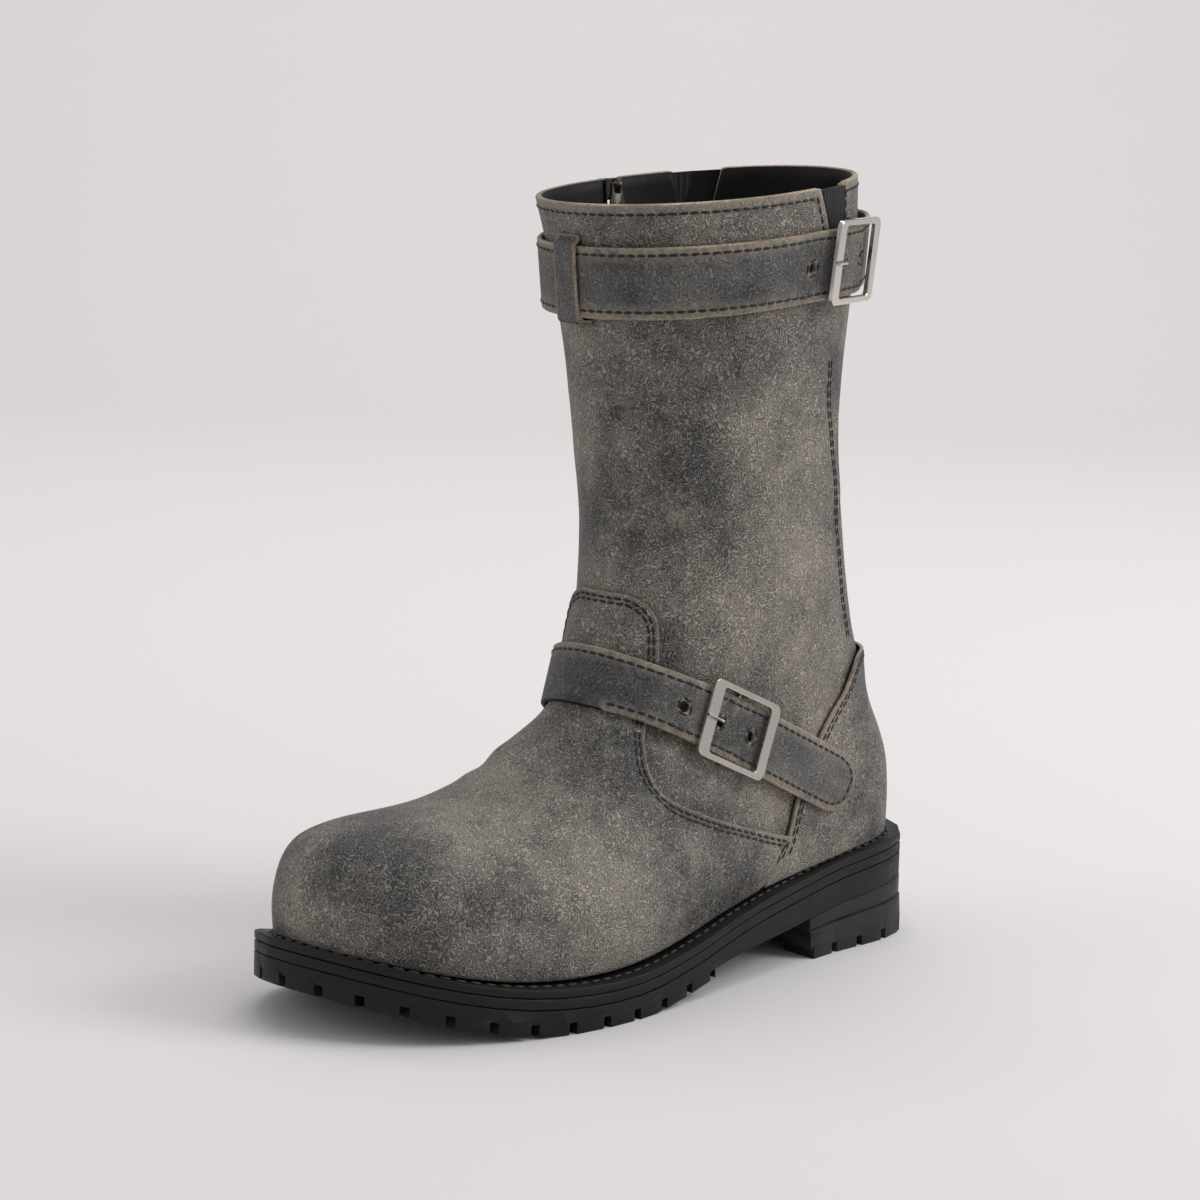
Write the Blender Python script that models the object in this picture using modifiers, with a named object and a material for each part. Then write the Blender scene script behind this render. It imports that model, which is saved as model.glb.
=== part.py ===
import bpy
import bmesh
import math
import numpy as np
from mathutils import Matrix, Vector

# A left engineer boot on its lug sole: toe toward -Y, outer side +X, floor at z = 0, metres.

# Driving sizes
SOLE_LENGTH = 0.312          # toe to heel of the sole's edge
BALL_WIDTH = 0.122           # sole's edge at the ball
HEEL_WIDTH = 0.084           # sole's edge at the heel
HEEL_SEAT = 0.042            # floor to the welt's top at the back of the heel
BALL_SEAT = 0.017            # floor to the welt's top at the ball
TOE_SEAT = 0.0335            # floor to the welt's top at the toe: the toe spring
TOE_TOP = 0.0675             # floor to the leather over the toe box
INSTEP_TOP = 0.117           # floor to the leather over the instep
COLLAR_FRONT = 0.293         # floor to the collar's rim at the shin
COLLAR_BACK = 0.309          # floor to the collar's rim at the calf
SHAFT_DEPTH = 0.1415         # shin to calf at the collar
SHAFT_WIDTH = 0.113          # side to side at the collar
WELT_MARGIN = 0.0085         # sole's edge to the upper's leather
SIDE_WALL = 0.015            # upright part of the foot's side above the welt
TOE_ROUND = 0.038            # length over which the toe box curves down
SEAT_GAP = 0.0003            # between pieces that touch

# Leather
UPPER_WALL = 0.0024
OVERLAY_WALL = 0.0014
OVERLAY_LIFT = 0.0004        # overlay's inside to the upper
OVERLAY_BUTT = 0.0010        # between the vamp's end and the counter's edge
TONGUE_HALF = 0.0255         # half the width of the vamp's tongue, along the leather
SEAM_STEP = 0.0012           # the rear panel lies this much under the side panel
STRAP_WALL = 0.0022
KEEPER_WALL = 0.0014
GORE_WALL = 0.0012

# Sole layers, from the welt down
WELT_THICK = 0.0032
WELT_REACH = 0.0125          # width of the welt strip
MIDSOLE_THICK = 0.0040
LUG_HEIGHT = 0.0042
HEEL_LENGTH = 0.082          # heel block, back to breast
WAIST_DROP = 0.0172          # welt's top to the underside of the waist
LUG_DEPTH = 0.017            # how far an edge lug reaches in
LUG_PITCH = 0.0165
LUG_NOTCH = 0.0036
LUG_OVERLAP = 0.0008         # how far a lug runs up into the sheet that it grows from
HEEL_FLARE = 0.0010
INSOLE_THICK = 0.0030
INSOLE_GAP = 0.0010
LUGS_FROM = 0.475            # lugs begin ahead of this station
CROSS_LUGS = (0.54, 0.61, 0.68, 0.75, 0.82, 0.885)
CROSS_LUG_WIDTH = 0.034
CROSS_LUG_LENGTH = 0.013
HEEL_STEP = 0.0008           # the step line's depth

# Grids
FACET_SHARE = 6.5            # a chord's sag is an eighth of its second difference; a little more for safety
SOLE_POINTS = 56
HEEL_POINTS = 25

# Straps
TOP_STRAP_WIDTH = 0.0268
TOP_STRAP_DROP = 0.0155      # collar's rim to the strap's upper edge
TOP_STRAP_LIFT = 0.0006      # strap's inside to the leather under it
TOP_STRAP_FLARE = 0.0034     # its lower edge stands off more in front
ANKLE_STRAP_WIDTH = 0.0250
ANKLE_STRAP_RISE = 0.1095    # height of its middle line over the boot's middle, before it slopes down
ANKLE_STRAP_SLOPE = -0.455
ANKLE_STRAP_LIFT = 0.0028    # it crosses the counter
TONGUE_STRAP_LIFT = 0.0035   # it crosses the vamp's tongue in front
KEEPER_WIDTH = 0.0115
KEEPER_RUN = -0.0072         # from the front's middle to the keeper's middle, toward the inner side
KEEPER_FOOT = 0.0032         # part of the keeper that is sewn down beyond the strap's edge
KEEPER_SIDE_GAP = 0.0010
KEEPER_GAP = 0.0006          # keeper's inside to the strap's outside
KEEPER_BEND = 0.0008         # its bend down beside the strap
STRAP_TIP = 0.012            # length over which the strap's end is trimmed
TIP_WIDTHS = (1.0, 0.93, 0.72, 0.45)     # shares of the strap's width over its last columns
TIP_RUNS = (0.62, 0.28, 0.0)             # shares of STRAP_TIP left beyond each of them
FRONT_LIFT = (0.186, 0.064)  # the lift over the shin: its half length and its ramp, as shares of SOLE_LENGTH
FLARE_REACH = (0.60, 0.39)   # the same for the flare, as shares of SHAFT_DEPTH
BAR_LIFT = (0.457, 0.171)    # the same where the strap rides over its buckle's bar, as shares of BUCKLE_LENGTH

# Buckles: a frame with two end bars over the strap and a centre bar under it
BUCKLE_LENGTH = 0.0350
BUCKLE_THICK = 0.0020
BUCKLE_RAIL = 0.0024
BUCKLE_FLAT_BAR = 0.0054
BUCKLE_ROUND_BAR = 0.0044
BUCKLE_CORNER = 0.0030
BUCKLE_SIDE_GAP = 0.0005
BUCKLE_EAR = 0.0044
BUCKLE_EDGE = 0.0003         # bevel of the frame's edges
EAR_WIDTH = 0.75             # share of the rail's width
CENTRE_BAR_RADIUS = 0.0008
CENTRE_BAR_LIFT = 0.0024     # strap's inside where it rides over the centre bar
COLLAR_BAR_HEIGHT = 0.0008   # centre bar's middle over the highest leather under the buckle
COLLAR_FRAME_HEIGHT = 0.0042 # the frame's underside over the same leather
COLLAR_BUCKLE_TURN = -0.08   # it has sagged a little at its rear, in radians
ANKLE_BAR_HEIGHT = 0.0013
ANKLE_FRAME_HEIGHT = 0.0050
PRONG_RADIUS = 0.0007
PRONG_BAR_GAP = 0.0004
PRONG_PAST_BAR = 0.0006      # how far its tip reaches past the frame's bar
PRONG_HOLE = 0.0079          # from the centre bar to the prong's hole
HOLE_RADIUS = 0.0023
HOLE_PITCH = 0.0160

# Zip on the inner side
ZIP_SLOT = 0.0060
ZIP_SIDE_GAP = 0.0004
ZIP_CHAIN_THICK = 0.0018
CHAIN_FOOT = 0.08            # the chain's lower end, in sections over the slot's
CHAIN_GAP = 0.0030           # from the chain's upper end to the slider
SLIDER_HEIGHT = 0.0085
SLIDER_WIDTH = 0.0086
SLIDER_PLATE = 0.0011
SLIDER_GAP = 0.0004
SLIDER_EDGE = 0.0003
SLIDER_CORE = 0.0044
SLIDER_BELOW_RIM = 0.0045
BAIL_RISE = 0.0016           # bail's middle over the slider's middle
BAIL_RADIUS = 0.0022
BAIL_WIRE = 0.0006
PULL_LENGTH = 0.0140
PULL_WIDTH = 0.0076
PULL_THICK = 0.0011
PULL_BAR = 0.0015
PULL_EYE_WIDTH = 0.0030
PULL_EYE_LENGTH = 0.0027
PULL_OFF_PLATE = 0.00115     # from the slider's inner plate to the pull's hinge

MID_Y = SOLE_LENGTH/2

# Sole's edge: station from heel (0) to toe (1), reach outward and inward as shares of the half width there
OUTLINE = (
    # station, outer, inner
    (0.015, 0.46, 0.46), (0.05, 0.79, 0.79), (0.11, 0.95, 0.95), (0.20, 1.00, 1.00), (0.30, 0.97, 0.92),
    (0.42, 0.90, 0.73), (0.54, 1.02, 0.76), (0.64, 1.10, 0.845), (0.73, 1.107, 0.893), (0.82, 1.02, 0.885),
    (0.90, 0.836, 0.79), (0.96, 0.535, 0.545),
)
TOE_SHIFT = -0.08            # the toe's tip, as a share of the half width at the ball

# Welt's top line: shares of the heel's rise and of the toe's rise above the ball
SEAT_LINE = (
    # station, heel share, toe share
    (0.0, 1.0, 0.0), (0.12, 0.88, 0.0), (0.25, 0.70, 0.0), (0.40, 0.45, 0.0), (0.52, 0.17, 0.0),
    (0.62, 0.0, 0.0), (0.74, 0.0, 0.0), (0.80, 0.0, 0.09), (0.88, 0.0, 0.36), (1.0, 0.0, 1.0),
)

# Ridge line of the foot: height share between toe box and instep, sideways lean, roundness of the section
RIDGE = (
    # station, rise, lean, roundness
    (0.0, -0.10, 0.0, 2.2), (0.027, -0.05, 0.0, 2.2), (0.031, 0.14, 0.0, 2.2), (0.04, 0.30, 0.0, 2.2),
    (0.06, 0.45, 0.0, 2.2), (0.10, 0.62, 0.0, 2.2),
    (0.30, 0.97, 0.0, 2.2), (0.42, 1.0, -0.08, 2.1), (0.50, 0.83, -0.12, 2.1),
    (0.56, 0.66, -0.13, 2.15), (0.64, 0.32, -0.15, 2.25), (0.72, 0.10, -0.15, 2.35), (0.80, 0.025, -0.11, 2.5),
    (0.88, 0.0, -0.05, 2.6), (1.0, 0.0, 0.0, 2.6),
)

# Shaft: height share of the collar's back; the back, from the sole's heel end, and the depth as shares of
# SHAFT_DEPTH; the width as a share of SHAFT_WIDTH
SHAFT = (
    # height, back, depth, width
    (0.065, 0.081, 0.83, 0.64), (0.153, 0.088, 0.92, 0.64), (0.202, 0.089, 1.00, 0.63),
    (0.260, 0.107, 1.045, 0.64), (0.325, 0.136, 1.035, 0.665), (0.390, 0.173, 0.985, 0.70),
    (0.455, 0.223, 0.895, 0.745),
    (0.536, 0.273, 0.822, 0.768), (0.617, 0.307, 0.803, 0.796), (0.715, 0.320, 0.816, 0.815),
    (0.845, 0.303, 0.886, 0.912), (0.948, 0.297, 0.955, 0.985), (1.0, 0.305, 1.0, 1.0), (1.1, 0.31, 1.03, 1.01),
)
SHAFT_MIDDLE = 0.45          # where the shaft is widest, from its front
BLEND = 0.25                 # softness of the throat between foot and shaft
TUCK = 0.05                  # the leather draws in under the foot's side by this share of its half width

# Sections of the leather, welt to collar. The front rise and back rise are shares of the height from the welt
# to the collar; where the front rise is None, the section's front lies on the top of the foot at its station.
SECTIONS = (
    # front station, front rise, back station, back rise, how far it keeps the welt line's dip
    (0.98, 0.0, 0.02, 0.0, 1.0), (0.98, 0.027, 0.02, 0.014, 0.92), (0.976, 0.060, 0.02, 0.030, 0.75),
    (0.957, None, 0.02, 0.045, 0.55), (0.938, None, 0.02, 0.060, 0.38), (0.905, None, 0.02, 0.073, 0.25),
    (0.855, None, 0.02, 0.085, 0.14), (0.79, None, 0.02, 0.102, 0.06), (0.725, None, 0.03, 0.124, 0.0),
    (0.672, None, 0.04, 0.155, 0.0), (0.63, None, 0.05, 0.186, 0.0), (0.595, None, 0.07, 0.215, 0.0),
    (0.566, None, 0.08, 0.243, 0.0), (0.55, 0.303, 0.10, 0.275, 0.0), (0.545, 0.356, 0.12, 0.31, 0.0),
    (0.54, 0.415, 0.13, 0.354, 0.0), (0.538, 0.475, 0.14, 0.406, 0.0), (0.538, 0.54, 0.14, 0.468, 0.0),
    (0.542, 0.617, 0.15, 0.545, 0.0), (0.55, 0.703, 0.15, 0.63, 0.0), (0.565, 0.792, 0.14, 0.725, 0.0),
    (0.58, 0.857, 0.14, 0.83, 0.0), (0.59, 0.93, 0.14, 0.92, 0.0), (0.60, 1.0, 0.14, 1.0, 0.0),
)
SPINE_FRONT = 0.045          # rays leave the boot's spine this far behind a section's front
SPINE_BACK = 0.038
DENSE = 26                   # rays in each quarter of a section

# Seams by section: the rear seam and gore's front and back edge on each side, and the zip, as stations
SEAMS = (
    # section, outer seam front, outer seam back, inner seam front, inner seam back, zip
    (0, 0.147, 0.140, 0.147, 0.140, 0.332), (9, 0.147, 0.140, 0.147, 0.140, 0.332),
    (13, 0.148, 0.141, 0.148, 0.141, 0.330), (14, 0.153, 0.146, 0.153, 0.146, 0.329),
    (15.5, 0.183, 0.176, 0.183, 0.176, 0.328), (16.4, 0.198, 0.191, 0.197, 0.190, 0.328),
    (17.6, 0.203, 0.196, 0.202, 0.195, 0.328), (18.7, 0.218, 0.211, 0.206, 0.199, 0.328),
    (20, 0.244, 0.237, 0.211, 0.204, 0.332), (21, 0.270, 0.262, 0.218, 0.210, 0.335),
    (23, 0.331, 0.273, 0.250, 0.192, 0.340),
)
STEP_FROM = 14               # the rear panel lies lower from this section up
GORE_FROM = 21               # the gores open upward from this section
ZIP_FROM = 9                 # the zip's slot reaches down to this section

# Vamp: section and the station where its edge crosses it, from the counter up; below these sections it
# butts against the counter
VAMP = (
    (2.74, 0.30), (3.4, 0.352), (4.25, 0.40), (5.4, 0.448), (6.84, 0.495), (7.7, 0.524), (8.56, 0.543),
    (9.3, 0.549), (9.95, 0.548),
)
# The vamp's tongue over the shin: section and half its width along the leather, as shares of TONGUE_HALF
TONGUE = (
    (10.6, 1.72), (11.25, 1.50), (12.1, 1.30), (12.9, 1.18), (13.64, 1.10), (14.2, 1.05), (14.64, 0.99),
    (14.95, 0.87), (15.15, 0.70), (15.28, 0.45),
)
# Counter: section and the station of its front edge, up to its top
COUNTER = (
    (0, 0.348), (1, 0.330), (2, 0.310), (3, 0.296), (4, 0.290), (5.5, 0.2825), (7, 0.268), (8, 0.257),
    (9, 0.243), (10, 0.226), (11, 0.199), (12, 0.171), (12.6, 0.159), (13, 0.146), (13.2, 0.122),
)


def smooth(rows, column):
    """A smooth curve through one column of a table, against its first column."""
    x = np.array([row[0] for row in rows], float)
    y = np.array([row[column] for row in rows], float)
    slope = np.gradient(y, x)

    def value(at):
        at = np.clip(at, x[0], x[-1])
        i = np.clip(np.searchsorted(x, at) - 1, 0, len(x) - 2)
        h = x[i+1] - x[i]
        t = (at - x[i])/h
        start, end = y[i], y[i+1]
        bulge = (t**3 - 2*t**2 + t)*h*slope[i] + (t**3 - t**2)*h*slope[i+1]
        return (2*t**3 - 3*t**2 + 1)*start + (3*t**2 - 2*t**3)*end + bulge
    return value


def station_of(y):
    return 0.5 - y/SOLE_LENGTH


def y_of(station):
    return SOLE_LENGTH*(0.5 - station)


def half_width(station):
    t = np.clip((station - 0.20)/0.25, 0, 1)
    return (HEEL_WIDTH + (BALL_WIDTH - HEEL_WIDTH)*t*t*(3 - 2*t))/2


def spline_loop(points, per_span=10):
    """A smooth closed curve through points in the plane."""
    p = np.asarray(points, float)
    n = len(p)
    out = []
    for i in range(n):
        a, b, c, d = (p[(i + k - 1) % n] for k in range(4))
        t = np.cumsum([0] + [np.linalg.norm(v)**0.5 for v in (b - a, c - b, d - c)])
        for u in np.linspace(t[1], t[2], per_span, endpoint=False):
            def mix(p0, p1, t0, t1):
                return ((t1 - u)*p0 + (u - t0)*p1)/(t1 - t0)
            left = mix(mix(a, b, t[0], t[1]), mix(b, c, t[1], t[2]), t[0], t[2])
            right = mix(mix(b, c, t[1], t[2]), mix(c, d, t[2], t[3]), t[1], t[3])
            out.append(mix(left, right, t[1], t[2]))
    return np.array(out)


def resample(points, count, closed):
    """Points at even spacing along a line."""
    p = np.vstack([points, points[:1]]) if closed else np.asarray(points)
    run = np.concatenate([[0], np.cumsum(np.linalg.norm(np.diff(p, axis=0), axis=1))])
    at = np.linspace(0, run[-1], count + 1)[:-1] if closed else np.linspace(0, run[-1], count)
    return np.column_stack([np.interp(at, run, p[:, k]) for k in range(p.shape[1])])


def sole_edge():
    """The sole's edge seen from above: heel middle, outer side, toe, inner side."""
    outer = [(w_out*half_width(s), y_of(s)) for s, w_out, w_in in OUTLINE]
    inner = [(-w_in*half_width(s), y_of(s)) for s, w_out, w_in in reversed(OUTLINE)]
    toe = (TOE_SHIFT*BALL_WIDTH/2, y_of(1.0))
    return spline_loop([(0.0, y_of(0.0))] + outer + [toe] + inner)


def inset(loop, distance):
    """The loop moved inward."""
    along = np.roll(loop, -1, axis=0) - np.roll(loop, 1, axis=0)
    along /= np.linalg.norm(along, axis=1)[:, None]
    inward = np.column_stack([-along[:, 1], along[:, 0]])
    middle = loop.mean(axis=0)
    if np.sum(inward*(middle - loop)) < 0:
        inward = -inward
    return loop + inward*distance


EDGE = sole_edge()
SHIFT_X = -(EDGE[:, 0].max() + EDGE[:, 0].min())/2
heel_share, toe_share = smooth(SEAT_LINE, 1), smooth(SEAT_LINE, 2)
ridge_rise, ridge_lean, ridge_round = (smooth(RIDGE, k) for k in (1, 2, 3))
shaft_back, shaft_depth, shaft_width = (smooth(SHAFT, k) for k in (1, 2, 3))
seam_columns = [smooth(SEAMS, k) for k in range(1, 6)]
vamp_edge, tongue_half, counter_edge = smooth(VAMP, 1), smooth(TONGUE, 1), smooth(COUNTER, 1)


def seat(y):
    """Height of the welt's top, where upper and sole meet."""
    s = station_of(y)
    return BALL_SEAT + (HEEL_SEAT - BALL_SEAT)*heel_share(s) + (TOE_SEAT - BALL_SEAT)*toe_share(s)


def leather_edge():
    loop = inset(EDGE, WELT_MARGIN)
    back, toe = int(np.argmax(loop[:, 1])), int(np.argmin(loop[:, 1]))
    outer = loop[back:toe + 1][::-1]
    inner = np.vstack([loop[toe:], loop[:back + 1]])
    return outer, inner


LEATHER_OUTER, LEATHER_INNER = leather_edge()
LEATHER_TOE, LEATHER_HEEL = LEATHER_OUTER[0, 1], LEATHER_OUTER[-1, 1]


def foot_value(x, y, z):
    """Below 1 inside the foot: a dome over the welt line."""
    s = station_of(y)
    outer = np.interp(y, LEATHER_OUTER[:, 1], LEATHER_OUTER[:, 0])
    inner = np.interp(y, LEATHER_INNER[:, 1], LEATHER_INNER[:, 0])
    spring = seat(y) + SIDE_WALL
    ridge = TOE_TOP + (INSTEP_TOP - TOE_TOP)*ridge_rise(s)
    toe = 1 - np.clip((y - LEATHER_TOE)/TOE_ROUND, 0, 1)
    rise = np.maximum((ridge - spring)*np.maximum(1 - toe**2.5, 0)**0.4, 1e-5)
    middle = (outer + inner)/2 + ridge_lean(s)*(outer - inner)/2
    reach = np.where(x > middle, np.maximum(outer - middle, 1e-5), np.maximum(middle - inner, 1e-5))
    across = np.abs(x - middle)/reach
    up = np.maximum(z - spring, 0)/rise
    power = ridge_round(s)
    dome = (across**power + up**power)**(1/power)
    tuck = 1 - TUCK*np.clip((spring - z)/SIDE_WALL, 0, 1.5)**2
    value = np.where(z < spring, across/tuck, dome)
    return np.where((y < LEATHER_TOE) | (y > LEATHER_HEEL), 3.0, value)


def shaft_value(x, y, z):
    """Below 1 inside the shaft: an oval that changes with height."""
    share = z/COLLAR_BACK
    back = MID_Y - SHAFT_DEPTH*shaft_back(share)
    depth = SHAFT_DEPTH*shaft_depth(share)
    front = back - depth
    middle = front + depth*SHAFT_MIDDLE
    ahead = np.where(y > middle, (y - middle)/(back - middle), (middle - y)/(middle - front))
    across = np.abs(x)/(SHAFT_WIDTH/2*shaft_width(share))
    power = np.where(y > middle, 2.2, 2.1)
    return (across**power + ahead**power)**(1/power)


def form_value(p):
    """Below 1 inside the boot: foot and shaft, blended at the throat."""
    foot, shaft = foot_value(*p.T), shaft_value(*p.T)
    h = np.clip(0.5 + 0.5*(shaft - foot)/BLEND, 0, 1)
    return shaft*(1 - h) + foot*h - BLEND*h*(1 - h)


def cast(start_y, aim, height):
    """Where level rays from the spine leave the form; height gives each ray's z against its y."""
    def at(reach):
        x, y = reach*aim[:, 0], start_y + reach*aim[:, 1]
        return np.column_stack([x, y, height(y)])
    step = 0.003
    near = np.zeros(len(start_y))
    far = np.full(len(start_y), 0.2)
    found = np.zeros(len(start_y), bool)
    for i in range(1, 60):
        outside = (form_value(at(np.full(len(start_y), i*step))) > 1) & ~found
        far[outside], near[outside] = i*step, (i - 1)*step
        found |= outside
    for _ in range(18):
        middle = (near + far)/2
        outside = form_value(at(middle)) > 1
        far, near = np.where(outside, middle, far), np.where(outside, near, middle)
    return at((near + far)/2)


def girdle(front_y, back_y, height):
    """A closed section of the form: front middle, outer side, back, inner side."""
    turn = np.linspace(0, math.pi/2, DENSE, endpoint=False)
    fore, aft = front_y + SPINE_FRONT, back_y - SPINE_BACK
    walk = np.linspace(fore, aft, DENSE, endpoint=False)
    back_walk = np.linspace(aft, fore, DENSE, endpoint=False)
    still = np.zeros(DENSE)
    start = np.concatenate([still + fore, walk, still + aft, still + aft, back_walk, still + fore])
    aim = np.vstack([
        np.column_stack([np.sin(turn), -np.cos(turn)]), np.column_stack([still + 1, still]),
        np.column_stack([np.cos(turn), np.sin(turn)]), np.column_stack([-np.sin(turn), np.cos(turn)]),
        np.column_stack([still - 1, still]), np.column_stack([-np.cos(turn), -np.sin(turn)])])
    return cast(start, aim, height)


def chord(y):
    """Straight line from the welt's top at the heel to its top at the toe."""
    heel_z, toe_z = seat(y_of(0.0)), seat(y_of(1.0))
    return heel_z + (toe_z - heel_z)*station_of(y)


def foot_top(y):
    """Height of the leather's top over the foot."""
    low, high = seat(y), INSTEP_TOP + TOE_TOP
    for _ in range(30):
        middle = (low + high)/2
        inside = form_value(np.array([[0.0, y, middle]]))[0] < 1
        low, high = (middle, high) if inside else (low, middle)
    return low


def section_lines():
    """The tables' sections in metres: front y and z, back y and z, dip."""
    lines = []
    for front_s, front_rise, back_s, back_rise, dip in SECTIONS:
        front_y, back_y = y_of(front_s), y_of(back_s)
        if front_rise is None:
            front_z = foot_top(front_y) - dip*(seat(front_y) - chord(front_y))
        else:
            front_z = chord(front_y) + front_rise*(COLLAR_FRONT - chord(front_y))
        back_z = chord(back_y) + back_rise*(COLLAR_BACK - chord(back_y))
        lines.append((len(lines), front_y, front_z, back_y, back_z, dip))
    return [smooth(lines, k) for k in range(1, 6)]


SECTION_LINES = section_lines()


def leather_section(number):
    """Section of the leather by its number in SECTIONS, which need not be whole."""
    front_y, front_z, back_y, back_z, dip = (line(number) for line in SECTION_LINES)

    def height(y):
        line = front_z + (back_z - front_z)*(y - front_y)/(back_y - front_y)
        return line + dip*(seat(y) - chord(y)) + SEAT_GAP
    return girdle(front_y, back_y, height)


def outward(points):
    """Unit normals of the form."""
    step = 1e-5
    slope = np.column_stack([form_value(points + step*axis) - form_value(points - step*axis)
                             for axis in np.eye(3)])
    return slope/np.linalg.norm(slope, axis=1)[:, None]


def runs(loop):
    steps = np.diff(np.vstack([loop, loop[:1]]), axis=0)
    return np.concatenate([[0], np.cumsum(np.linalg.norm(steps, axis=1))])


def run_at(loop, station, outer):
    """How far along a section it crosses a station, on the outer or the inner side."""
    run, half = runs(loop), 3*DENSE
    if outer:
        return np.interp(y_of(station), loop[:half, 1], run[:half])
    return np.interp(-y_of(station), -loop[half:, 1], run[half:-1])


def along(loop, start, end, count):
    """Points at even spacing along a section between two runs, past its closing point too."""
    run = runs(loop)
    closed = np.vstack([loop, loop[:1]])
    at = np.mod(np.linspace(start, end, count), run[-1])
    return np.column_stack([np.interp(at, run, closed[:, k]) for k in range(3)])


def material(name, colour, roughness, metallic=0.0):
    mat = bpy.data.materials.new(name)
    mat.use_nodes = True
    shader = mat.node_tree.nodes["Principled BSDF"]
    shader.inputs["Base Color"].default_value = (*colour, 1.0)
    shader.inputs["Roughness"].default_value = roughness
    shader.inputs["Metallic"].default_value = metallic
    mat.diffuse_color = (*colour, 1.0)
    return mat


for old in list(bpy.data.objects):
    bpy.data.objects.remove(old, do_unlink=True)
boot = bpy.data.collections.new("engineer_boot")
cutters = bpy.data.collections.new("cutters")
for group in (boot, cutters):
    bpy.context.scene.collection.children.link(group)
root = bpy.data.objects.new("boot_root", None)
root.location = (SHIFT_X, 0, 0)
boot.objects.link(root)
bpy.context.view_layer.update()

LEATHER = material("grey_leather", (0.095, 0.090, 0.085), 0.62)
OVERLAY_LEATHER = material("grey_leather_overlay", (0.115, 0.110, 0.102), 0.60)
STRAP_LEATHER = material("grey_leather_strap", (0.085, 0.083, 0.080), 0.58)
RUBBER = material("black_rubber", (0.014, 0.014, 0.015), 0.55)
WELT_RUBBER = material("black_welt", (0.012, 0.012, 0.012), 0.60)
ELASTIC = material("black_elastic", (0.010, 0.010, 0.010), 0.85)
NICKEL = material("brushed_nickel", (0.62, 0.60, 0.57), 0.34, 1.0)
GUNMETAL = material("dark_zip_metal", (0.10, 0.095, 0.09), 0.40, 1.0)
INSOLE_FOAM = material("insole_foam", (0.02, 0.02, 0.02), 0.90)


def add_object(name, mesh, mat, collection=None):
    mesh.materials.append(mat)
    obj = bpy.data.objects.new(name, mesh)
    (collection or boot).objects.link(obj)
    obj.parent = root
    return obj


def mesh_of(points, faces):
    mesh = bpy.data.meshes.new("mesh")
    mesh.from_pydata([tuple(p) for p in points], [], faces)
    mesh.update()
    return mesh


def smooth_shading(obj, degrees=38):
    obj.data.shade_smooth()
    obj.data.set_sharp_from_angle(angle=math.radians(degrees))


def grid_faces(rows, columns, closed=False, skip=()):
    """Quads of a grid of points; skip lists the (row, column) cells that stay open."""
    faces = []
    for r in range(rows - 1):
        for c in range(columns if closed else columns - 1):
            if (r, c) not in skip:
                d = (c + 1) % columns
                faces.append((r*columns + c, r*columns + d, (r + 1)*columns + d, (r + 1)*columns + c))
    return faces


def drop_loose(mesh):
    bm = bmesh.new()
    bm.from_mesh(mesh)
    bmesh.ops.delete(bm, geom=[v for v in bm.verts if not v.link_faces], context="VERTS")
    bm.to_mesh(mesh)
    bm.free()


def solidify(obj, thickness, offset):
    """A wall on an open surface: offset 1 builds outward, -1 inward."""
    wall = obj.modifiers.new("wall", "SOLIDIFY")
    wall.thickness = thickness
    wall.offset = offset
    return wall


def facet_allowance(points):
    """How far the flat facets of a grid of points stand off the curve that they follow."""
    bend = np.zeros(points.shape[:2])
    for axis in (0, 1):
        p = np.moveaxis(points, axis, 0)
        if len(p) > 2:
            second = np.linalg.norm(p[:-2] - 2*p[1:-1] + p[2:], axis=2)
            second = np.vstack([second[:1], second, second[-1:]])
            wide = np.maximum(second, np.maximum(np.roll(second, 1, axis=0), np.roll(second, -1, axis=0)))
            bend += np.moveaxis(wide, 0, axis)/FACET_SHARE
    return bend


def patch(name, rows, mat, thickness, lift):
    """A leather piece on the form: a grid of points, lifted off the form, with a wall outward."""
    grid = np.array(rows)
    raised = (lift + facet_allowance(grid)).ravel()
    points = grid.reshape(-1, 3)
    points = points + outward(points)*raised[:, None]
    obj = add_object(name, mesh_of(points, grid_faces(grid.shape[0], grid.shape[1])), mat)
    solidify(obj, thickness, 1)
    smooth_shading(obj)
    return obj


# Upper: one hollow wall from welt to collar, with the gore cut-outs and the zip's slot
FRONT_CELLS, GORE_CELLS, BACK_CELLS, SIDE_CELLS, INNER_FRONT_CELLS = 13, 2, 5, 4, 10


def upper_row(number):
    loop = leather_section(number)
    total = runs(loop)[-1]
    outer_front, outer_back, inner_front, inner_back, zip_station = (column(number) for column in seam_columns)
    zip_half = ZIP_SLOT/2/SOLE_LENGTH
    marks = [
        (0.0, FRONT_CELLS), (run_at(loop, outer_front, True), GORE_CELLS),
        (run_at(loop, outer_back, True), BACK_CELLS),
        (runs(loop)[3*DENSE], BACK_CELLS), (run_at(loop, inner_back, False), GORE_CELLS),
        (run_at(loop, inner_front, False), SIDE_CELLS), (run_at(loop, zip_station - zip_half, False), 1),
        (run_at(loop, zip_station + zip_half, False), INNER_FRONT_CELLS), (total, 0)]
    row = [along(loop, a, b, cells + 1)[:-1] for (a, cells), (b, _) in zip(marks, marks[1:])]
    return np.vstack(row)


OUTER_GORE = range(FRONT_CELLS, FRONT_CELLS + GORE_CELLS)
REAR = range(FRONT_CELLS + GORE_CELLS, FRONT_CELLS + GORE_CELLS + 2*BACK_CELLS)
INNER_GORE = range(REAR.stop, REAR.stop + GORE_CELLS)
ZIP_CELL = INNER_GORE.stop + SIDE_CELLS
COLUMNS = ZIP_CELL + 1 + INNER_FRONT_CELLS
SECTION_ROWS = list(range(len(SECTIONS)))


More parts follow.
